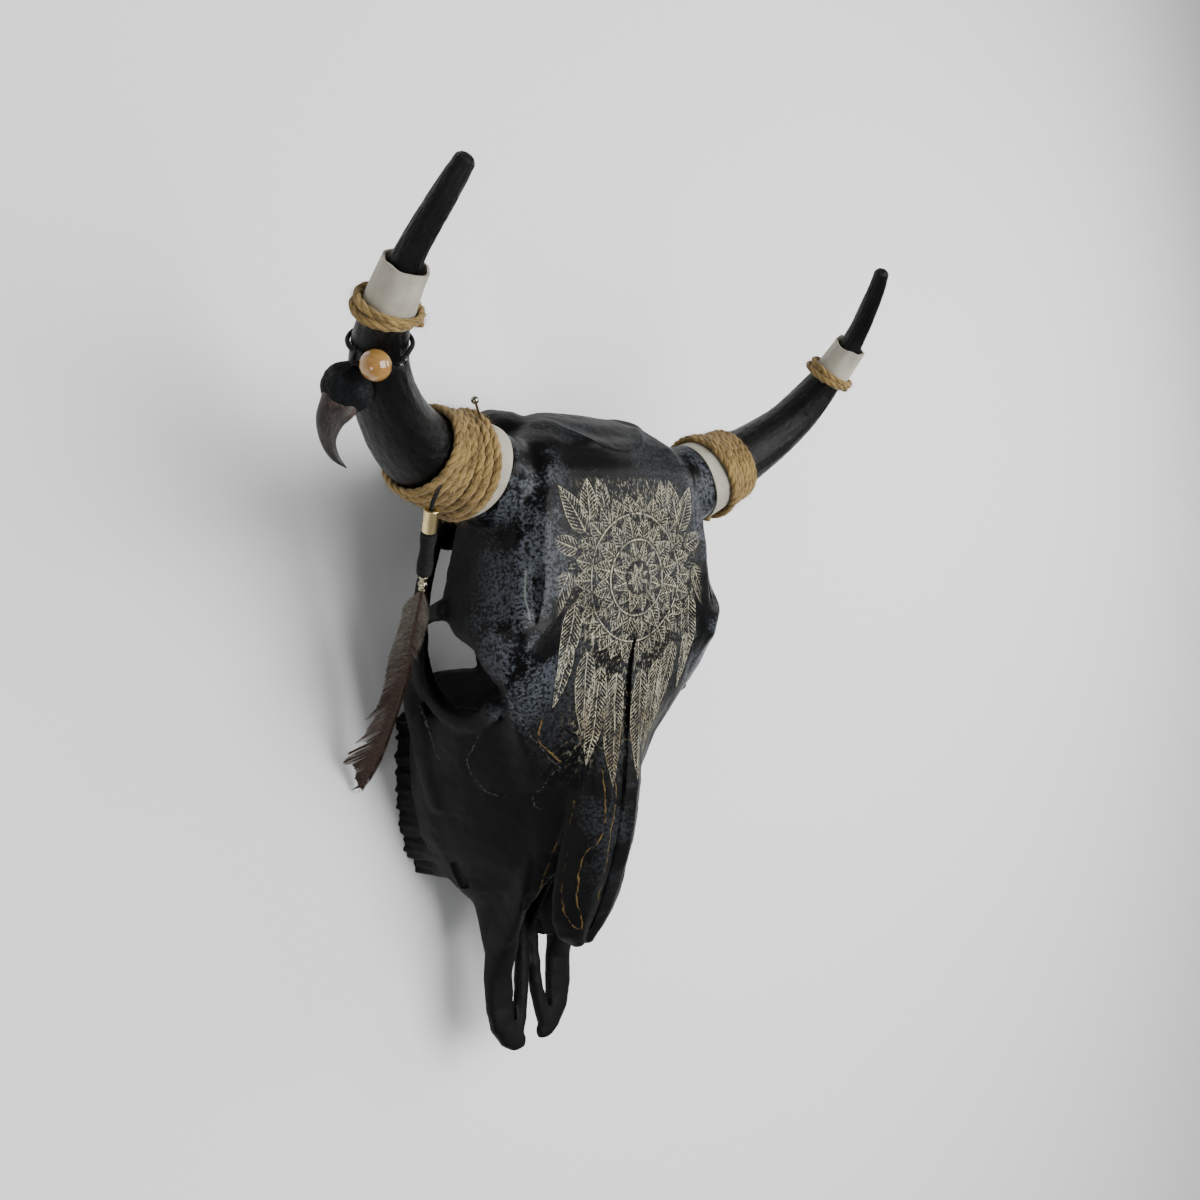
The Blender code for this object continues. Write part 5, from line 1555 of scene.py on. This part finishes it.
def bead_outline(radius, bore, steps):
    """Half circle of the given radius, cut by the bore, then back along the bore."""
    limit = math.acos(bore / radius)
    angles = np.linspace(-limit, limit, steps)
    round_ = [(radius * math.sin(a), radius * math.cos(a)) for a in angles]
    return round_ + [(0.3 * round_[-1][0], bore), (0.3 * round_[0][0], bore)]


def lashing_path(horn, count=180):
    """The cord's loop: straight through the bead, down to the horn, on one side at once, and round it."""
    close = float(horn.radius(BEAD_PLACE)) + GAP + CORD_RADIUS
    high = float(horn.radius(BEAD_PLACE)) + GAP + BEAD_RADIUS
    reach = math.atan2(BEAD_RADIUS + 0.004, high)
    corner = math.acos(close / (high / math.cos(reach)))
    turns = np.linspace(-math.pi, math.pi, count, endpoint=False)
    size = np.abs(turns)
    over = np.where(size < reach, high / np.cos(np.minimum(size, reach)), 0.0)
    falling = close / np.cos(np.clip(reach + corner - size, 0, corner))
    drop = np.clip(1 - (size - reach) / 0.35, 0, 1)
    dropping = close + (high / math.cos(reach) - close) * drop**2
    distance = np.where(size < reach, over, np.where(turns > 0, falling, dropping))
    for _ in range(9):
        distance = (np.roll(distance, 1) + 2 * distance + np.roll(distance, -1)) / 4
    places = BEAD_PLACE + 0.002 * np.sin(turns)
    spare = np.maximum(horn.radius(places) - horn.radius(BEAD_PLACE), 0)
    return np.stack([
        horn.around(place, away, [turn], BEAD_WAY)[0]
        for place, turn, away in zip(places, turns, distance + spare)
    ])


def loop_surface(path, middle, radius, sides, twists):
    """Round sections across a closed path that runs round a middle, with the dips of a twisted cord."""
    along = unit(np.roll(path, -1, axis=0) - np.roll(path, 1, axis=0))
    out = path - middle
    out = unit(out - along * np.sum(out * along, 1, keepdims=True))
    other = np.cross(along, out)
    turn = np.linspace(0, 2 * math.pi, sides, endpoint=False)[None, :]
    spin = np.linspace(0, 2 * math.pi * twists, len(path), endpoint=False)[:, None]
    size = radius * (0.86 + 0.14 * np.abs(np.sin(turn + spin)))
    return round_sections(path, out[:, None], other[:, None], turn, size)


def make_bead(settings, strand):
    horn = Horn(-1)
    path = lashing_path(horn, 180)
    coarse = path[::6]
    middle = len(coarse) // 2
    way = coarse[middle + 1] - coarse[middle - 1]
    grid = lathe(coarse[middle], way, bead_outline(BEAD_RADIUS, 0.0019, 60), 72)
    mesh = Pile().add(grid, looped=True).mesh("bead", merge=True)
    piece("bead_amber", mesh, bead_finish(settings), ("bead",), sharp=50)
    glass = glass_finish()
    for number, stretch in enumerate(SEED_STRETCHES, 1):
        one, other = coarse[middle + stretch], coarse[middle + stretch + 1]
        grid = lathe((one + other) / 2, other - one, bead_outline(SEED_RADIUS, 0.0016, 24), 32)
        mesh = Pile().add(grid, looped=True).mesh("seed", merge=True)
        piece(f"seed_bead_glass_{number}", mesh, glass, (f"seed_bead_{number}",), sharp=50)
    fine = lashing_path(horn, 720)
    grid = loop_surface(fine, horn.middle(BEAD_PLACE), CORD_RADIUS, 10, 34)
    mesh = Pile().add(grid, looped=True).mesh("lashing")
    piece("lashing_cord", mesh, cord_finish(settings, strand), ("lashing",), sharp=0)


# The pendant


def make_pendant(settings, strand):
    horn = Horn(-1)
    way = unit(PENDANT_END - PENDANT_TOP)
    place = 0.064
    over = float(horn.radius(place)) + GAP + ROPE + GAP + CORD_RADIUS
    towards = PENDANT_TOP - horn.middle(place)
    arc = [horn.around(place, over - sunk, [math.radians(turn)], towards)[0] for turn, sunk in CORD_ARC]
    down = [PENDANT_TOP + way * far for far in (-0.004, 0.004, THREAD_SPAN[0] - GAP)]
    cord = np.vstack([arc, down])
    path = curve(cord, 160)
    black = cord_finish(settings, strand, "black pendant cord")
    grid = swept(path, CORD_RADIUS, 14, start=tuple(OUTER_ACROSS), twist=1500.0, ridges=3, depth=0.18)
    mesh = Pile().add(closed_ends(grid)).mesh("cord", merge=True)
    piece("pendant_cord_black", mesh, black, ("pendant_cord",), sharp=0)

    start, stop = TUBE_SPAN
    lip = 0.0004
    outline = [
        (start, TUBE_BORE), (start, TUBE_RADIUS - lip), (start + lip, TUBE_RADIUS),
        (start + 2 * lip, TUBE_RADIUS), (stop - 2 * lip, TUBE_RADIUS), (stop - lip, TUBE_RADIUS),
        (stop, TUBE_RADIUS - lip), (stop, TUBE_BORE),
    ]
    mesh = Pile().add(lathe(PENDANT_TOP, way, outline, 64), looped=True).mesh("tube", merge=True)
    pale = metal_finish("pale brass", settings.brass, 0.22, 0.38, 220.0)
    piece("brass_tube_pale", mesh, pale, ("brass_tube",), sharp=50)

    start, stop = THREAD_SPAN
    share = np.linspace(0, 1, 420)
    turn = np.linspace(0, 2 * math.pi, 40, endpoint=False)[None, :]
    windings = np.abs(np.sin(math.pi * (share[:, None] * 22 + turn / (2 * math.pi))))
    body = THREAD_RADIUS - 0.0012 + 0.0004 * np.sin(share * 9 + 1)[:, None] + 0.0007 * windings
    body = body * np.clip(np.minimum(share, 1 - share)[:, None] / 0.03, 0, 1) ** 0.35
    right = unit(np.cross(way, (0.31, 0.93, 0.17)))
    other = np.cross(way, right)
    centre = PENDANT_TOP + (start + (stop - start) * share)[:, None] * way
    grid = round_sections(centre, right, other, turn, body)
    mesh = Pile().add(grid).mesh("thread", merge=True)
    piece("thread_wrap_black", mesh, black, ("thread_wrap",), sharp=0)

    start, stop = CRIMP_SPAN
    share = np.linspace(0, 1, 60)
    turn = np.linspace(0, 2 * math.pi, 48, endpoint=False)[None, :]
    radius = CRIMP_RADIUS * (0.86 + 0.14 * np.cos(2 * math.pi * 2 * (share - 0.1)))[:, None]
    radius = radius * (1 + 0.05 * np.sin(6 * turn + 4 * share[:, None]))
    radius = radius * np.clip(np.minimum(share, 1 - share)[:, None] / 0.08 + 0.55, 0, 1)
    centre = PENDANT_TOP + (start + (stop - start) * share)[:, None] * way
    grid = round_sections(centre, right, other, turn, radius)
    shiny = metal_finish("brassy metal", (0.34, 0.31, 0.21), 0.18, 0.36, 600.0)
    mesh = Pile().add(closed_ends(grid)).mesh("crimp", merge=True)
    piece("crimp_metal", mesh, shiny, ("crimp",), sharp=0)


def feather_axes():
    """The shaft's line with directions along, across and out of the vane at 401 even places."""
    way = unit(PENDANT_END - PENDANT_TOP)
    line = curve(np.vstack([PENDANT_TOP + way * QUILL_START, PENDANT_END + way * 0.001, FEATHER_LINE]), 401)
    along = unit(np.gradient(line, axis=0))
    across = unit(OUTER_ACROSS - along * (along @ OUTER_ACROSS)[:, None])
    out = np.cross(across, along)
    out = out * np.sign(out @ OUTER_WAY)[:, None]
    return line, along, across, out


def at_share(table, share):
    """Rows of a 401-row table at shares of the length, with straight lines between."""
    places = np.clip(share, 0, 1) * 400
    low = np.clip(np.floor(places).astype(int), 0, 399)
    part = (places - low)[..., None]
    return table[low] * (1 - part) + table[low + 1] * part


def vane_ribbons(axes, side, count, rng):
    """Barbs: each leaves the shaft, bends towards the feather's end and stops at the vane's edge."""
    line, along, across, out = axes
    length = travelled(line)[-1]
    root = np.linspace(0.055, 0.965, count) + rng.normal(0, 0.0006, count)
    widths = FEATHER_EDGE[:, 1 if side < 0 else 2]
    sweep = (2.1 if side > 0 else 1.25) / length
    ahead = 1.1 * np.interp(root + 0.03, FEATHER_EDGE[:, 0], widths) * sweep
    reach = np.interp(root + ahead, FEATHER_EDGE[:, 0], widths) * rng.uniform(0.93, 1.03, count)
    u = np.linspace(0, 1, 7)[None, :]
    forward = (0.55 * u + 0.55 * u**2) * reach[:, None] * sweep
    share = np.minimum(root[:, None] + forward, 0.998)
    off = side * reach[:, None] * u
    dip = -0.10 * np.abs(off) + 0.0004 * np.sin(root * 60)[:, None] * u
    points = at_share(line, share) + at_share(across, share) * off[..., None]
    points = points + at_share(out, share) * dip[..., None]
    half = at_share(along, share) * (0.00036 * (1 - 0.45 * u))[..., None]
    lean = at_share(out, share) * 0.00012
    return np.stack([points - half - lean, points + half + lean], 2)


def down_ribbons(axes, count, rng):
    """Soft fibres at the feather's base: root + way x share, bent and curled, thin as hair."""
    line, along, across, out = axes
    root = rng.beta(1.2, 1.6, count) * 0.36 + 0.045
    side = rng.choice((-1, 1), count)
    inner, outer = (np.interp(root, FEATHER_EDGE[:, 0], FEATHER_EDGE[:, k]) for k in (1, 2))
    widths = np.where(side < 0, inner, outer)
    size = np.clip(widths, 0.003, None) * rng.uniform(0.6, 1.15, count)
    u = np.linspace(0, 1, 7)[None, :, None]
    base, fore = at_share(line, root)[:, None], at_share(along, root)[:, None]
    aside, face = at_share(across, root)[:, None] * side[:, None, None], at_share(out, root)[:, None]
    lift = rng.normal(0, 0.28, (count, 1, 1))
    slope = rng.uniform(0.2, 1.1, (count, 1, 1))
    curl = rng.normal(0, 0.16, (count, 1, 3))
    reach = size[:, None, None]
    points = base + reach * (aside * u + fore * slope * u**1.3 + face * lift * u + curl * np.sin(3 * u) * u)
    width = reach * 0 + 0.00009 * (1 - 0.5 * u)
    sideways = unit(fore + 0.4 * rng.normal(0, 1, (count, 1, 3))) * width
    return np.stack([points - sideways, points + sideways], 2)


def make_feather(settings):
    rng = np.random.default_rng(61)
    axes = feather_axes()
    line = axes[0]
    pile = Pile()
    taper = QUILL_RADIUS * np.interp(np.linspace(0, 1, 401), (0, 0.1, 1), (1.0, 0.95, 0.25))
    pile.add(closed_ends(swept(line, taper, 12, start=tuple(OUTER_ACROSS))), shade=SHAFT_SHADE)
    for side in (-1, 1):
        ribbons = vane_ribbons(axes, side, settings.barbs, rng)
        root = np.linspace(0.055, 0.965, settings.barbs)
        tone = np.interp(root, (0.05, 0.15, 0.26, 0.40), (0.85, 0.65, 0.0, -0.25))
        tone = tone + rng.uniform(-0.06, 0.10, settings.barbs)
        tone = tone + np.interp(root, np.linspace(0, 1, 26), rng.uniform(-0.30, 0.30, 26))
        pile.add(ribbons, around=False, shade=np.clip(tone, -0.5, 1))
    down = down_ribbons(axes, settings.down, rng)
    pile.add(down, around=False, shade=rng.uniform(0.6, 1.2, settings.down))
    piece("feather_barbs", pile.mesh("feather"), feather_finish(settings), ("feather",), sharp=0)


def make_ball():
    inwards = STEM_FOOT - BALL_MIDDLE
    stem = np.linalg.norm(inwards)
    angles = np.radians(np.linspace(-90, 70, 30))
    outline = [(BALL_RADIUS * math.sin(a), BALL_RADIUS * math.cos(a)) for a in angles]
    outline += [(BALL_RADIUS * 1.02, STEM_RADIUS), (stem, STEM_RADIUS), (stem, 0.0)]
    mesh = Pile().add(lathe(BALL_MIDDLE, inwards, outline, 36)).mesh("ball", merge=True)
    finish = metal_finish("dark metal", (0.32, 0.30, 0.24), 0.10, 0.22, 400.0)
    piece("metal_ball_stem", mesh, finish, ("metal_ball",), sharp=40)


# The stage


def make_stage(settings):
    half = 6.0
    grid = np.array([[(-half, -half, 0), (half, -half, 0)], [(-half, half, 0), (half, half, 0)]], float)
    mesh = Pile().add(grid, around=False).mesh("floor", shift=False)
    mesh.materials.append(floor_finish(settings))
    floor = bpy.data.objects.new("floor", mesh)
    bpy.context.scene.collection.objects.link(floor)

    world = bpy.data.worlds.new("soft studio")
    bpy.context.scene.world = world
    world.use_nodes = True
    back = world.node_tree.nodes["Background"]
    back.inputs[0].default_value = (0.97, 0.985, 1.0, 1.0)
    back.inputs[1].default_value = settings.soft

    lights = (
        ("main light", (0.40, 0.10, 2.0), 1.5, settings.key),
        ("side light", (1.6, 0.5, 1.2), 0.8, 0.22 * settings.key),
        ("low light", (-1.5, -0.6, 0.7), 0.5, 0.07 * settings.key),
    )
    for name, place, size, power in lights:
        lamp = bpy.data.lights.new(name, "AREA")
        lamp.shape = "SQUARE"
        lamp.size = size
        lamp.energy = power
        holder = bpy.data.objects.new(name, lamp)
        bpy.context.scene.collection.objects.link(holder)
        holder.location = place
        holder.rotation_euler = (Vector(place) - Vector((0, 0, 0.12))).to_track_quat("Z", "Y").to_euler()

    camera = bpy.data.objects.new("camera", bpy.data.cameras.new("camera"))
    bpy.context.scene.collection.objects.link(camera)
    turn = Matrix((EYE_RIGHT, -Vector(EYE_DOWN), -Vector(EYE_AHEAD))).transposed().to_4x4()
    camera.matrix_world = Matrix.Translation(Vector(np.array(EYE) / MM + SHIFT)) @ turn
    camera.data.sensor_width = 36
    camera.data.lens = FOCAL * 36 / PICTURE
    camera.data.shift_x = (PICTURE / 2 - PICTURE_MIDDLE[0]) / PICTURE
    camera.data.shift_y = (PICTURE_MIDDLE[1] - PICTURE / 2) / PICTURE
    bpy.context.scene.camera = camera


# The add-on


STRAND, MOTTLE = {}, {}


def shared_trees():
    """The node groups that more than one finish uses, made once."""
    if not STRAND:
        STRAND["tree"] = strand_group()
        MOTTLE["tree"] = mottle_group()
    return STRAND["tree"], MOTTLE["tree"]


class BULLSKULL_OT_stage(bpy.types.Operator):
    """Lay the floor, set the lights and stand the camera where the photo was taken from"""

    bl_idname = "bullskull.stage"
    bl_label = "Stage"

    def execute(self, context):
        make_stage(context.scene.bull_stage)
        return {"FINISHED"}


class BULLSKULL_OT_bone(bpy.types.Operator):
    """Grow the skull's bone as one skin and paint it"""

    bl_idname = "bullskull.bone"
    bl_label = "Bone"

    def execute(self, context):
        make_bone(context.scene.bull_skull)
        return {"FINISHED"}


class BULLSKULL_OT_horns(bpy.types.Operator):
    """Make the two horn sheaths"""

    bl_idname = "bullskull.horns"
    bl_label = "Horns"

    def execute(self, context):
        make_horns(context.scene.bull_horns)
        return {"FINISHED"}


class BULLSKULL_OT_bands(bpy.types.Operator):
    """Fit the off-white bands at the base and near the tip of each horn"""

    bl_idname = "bullskull.bands"
    bl_label = "Bands"

    def execute(self, context):
        make_bands(context.scene.bull_horns, shared_trees()[1])
        return {"FINISHED"}


class BULLSKULL_OT_ropes(bpy.types.Operator):
    """Wind the jute rope round each horn"""

    bl_idname = "bullskull.ropes"
    bl_label = "Ropes"

    def execute(self, context):
        make_ropes(context.scene.bull_ropes, shared_trees()[0])
        return {"FINISHED"}


class BULLSKULL_OT_claw(bpy.types.Operator):
    """Set the claw in its leather cap"""

    bl_idname = "bullskull.claw"
    bl_label = "Claw"

    def execute(self, context):
        make_claw(context.scene.bull_trinkets)
        return {"FINISHED"}


class BULLSKULL_OT_bead(bpy.types.Operator):
    """Lash the bead and its two small neighbours to the horn"""

    bl_idname = "bullskull.bead"
    bl_label = "Bead"

    def execute(self, context):
        make_bead(context.scene.bull_trinkets, shared_trees()[0])
        return {"FINISHED"}


class BULLSKULL_OT_pendant(bpy.types.Operator):
    """Hang the cord with its tube, thread and crimp"""

    bl_idname = "bullskull.pendant"
    bl_label = "Pendant"

    def execute(self, context):
        make_pendant(context.scene.bull_trinkets, shared_trees()[0])
        return {"FINISHED"}


class BULLSKULL_OT_feather(bpy.types.Operator):
    """Grow the feather's shaft, barbs and down"""

    bl_idname = "bullskull.feather"
    bl_label = "Feather"

    def execute(self, context):
        make_feather(context.scene.bull_feather)
        return {"FINISHED"}


class BULLSKULL_OT_ball(bpy.types.Operator):
    """Stand the small metal ball on its stem"""

    bl_idname = "bullskull.ball"
    bl_label = "Metal ball"

    def execute(self, context):
        make_ball()
        return {"FINISHED"}


OPERATORS = (
    BULLSKULL_OT_stage,
    BULLSKULL_OT_bone,
    BULLSKULL_OT_horns,
    BULLSKULL_OT_bands,
    BULLSKULL_OT_ropes,
    BULLSKULL_OT_claw,
    BULLSKULL_OT_bead,
    BULLSKULL_OT_pendant,
    BULLSKULL_OT_feather,
    BULLSKULL_OT_ball,
)
SETTINGS = (
    ("bull_skull", SkullSettings),
    ("bull_horns", HornSettings),
    ("bull_ropes", RopeSettings),
    ("bull_trinkets", TrinketSettings),
    ("bull_feather", FeatherSettings),
    ("bull_stage", StageSettings),
)


class BULLSKULL_PT_panel(bpy.types.Panel):
    """Lists the settings and the pieces"""

    bl_idname = "BULLSKULL_PT_panel"
    bl_label = "Bull skull"
    bl_space_type = "VIEW_3D"
    bl_region_type = "UI"
    bl_category = "Bull skull"

    def draw(self, context):
        for name, group in SETTINGS:
            box = self.layout.box()
            for prop in group.__annotations__:
                box.prop(getattr(context.scene, name), prop)
        for operator in OPERATORS:
            self.layout.operator(operator.bl_idname)


def register():
    for name, group in SETTINGS:
        bpy.utils.register_class(group)
        setattr(bpy.types.Scene, name, PointerProperty(type=group))
    for kind in (*OPERATORS, BULLSKULL_PT_panel):
        bpy.utils.register_class(kind)


def unregister():
    for kind in (BULLSKULL_PT_panel, *reversed(OPERATORS)):
        bpy.utils.unregister_class(kind)
    for name, group in reversed(SETTINGS):
        delattr(bpy.types.Scene, name)
        bpy.utils.unregister_class(group)


def main():
    register()
    for step in ("stage", "bone", "horns", "bands", "ropes", "claw", "bead", "pendant", "feather", "ball"):
        getattr(bpy.ops.bullskull, step)()


if __name__ == "__main__":
    main()
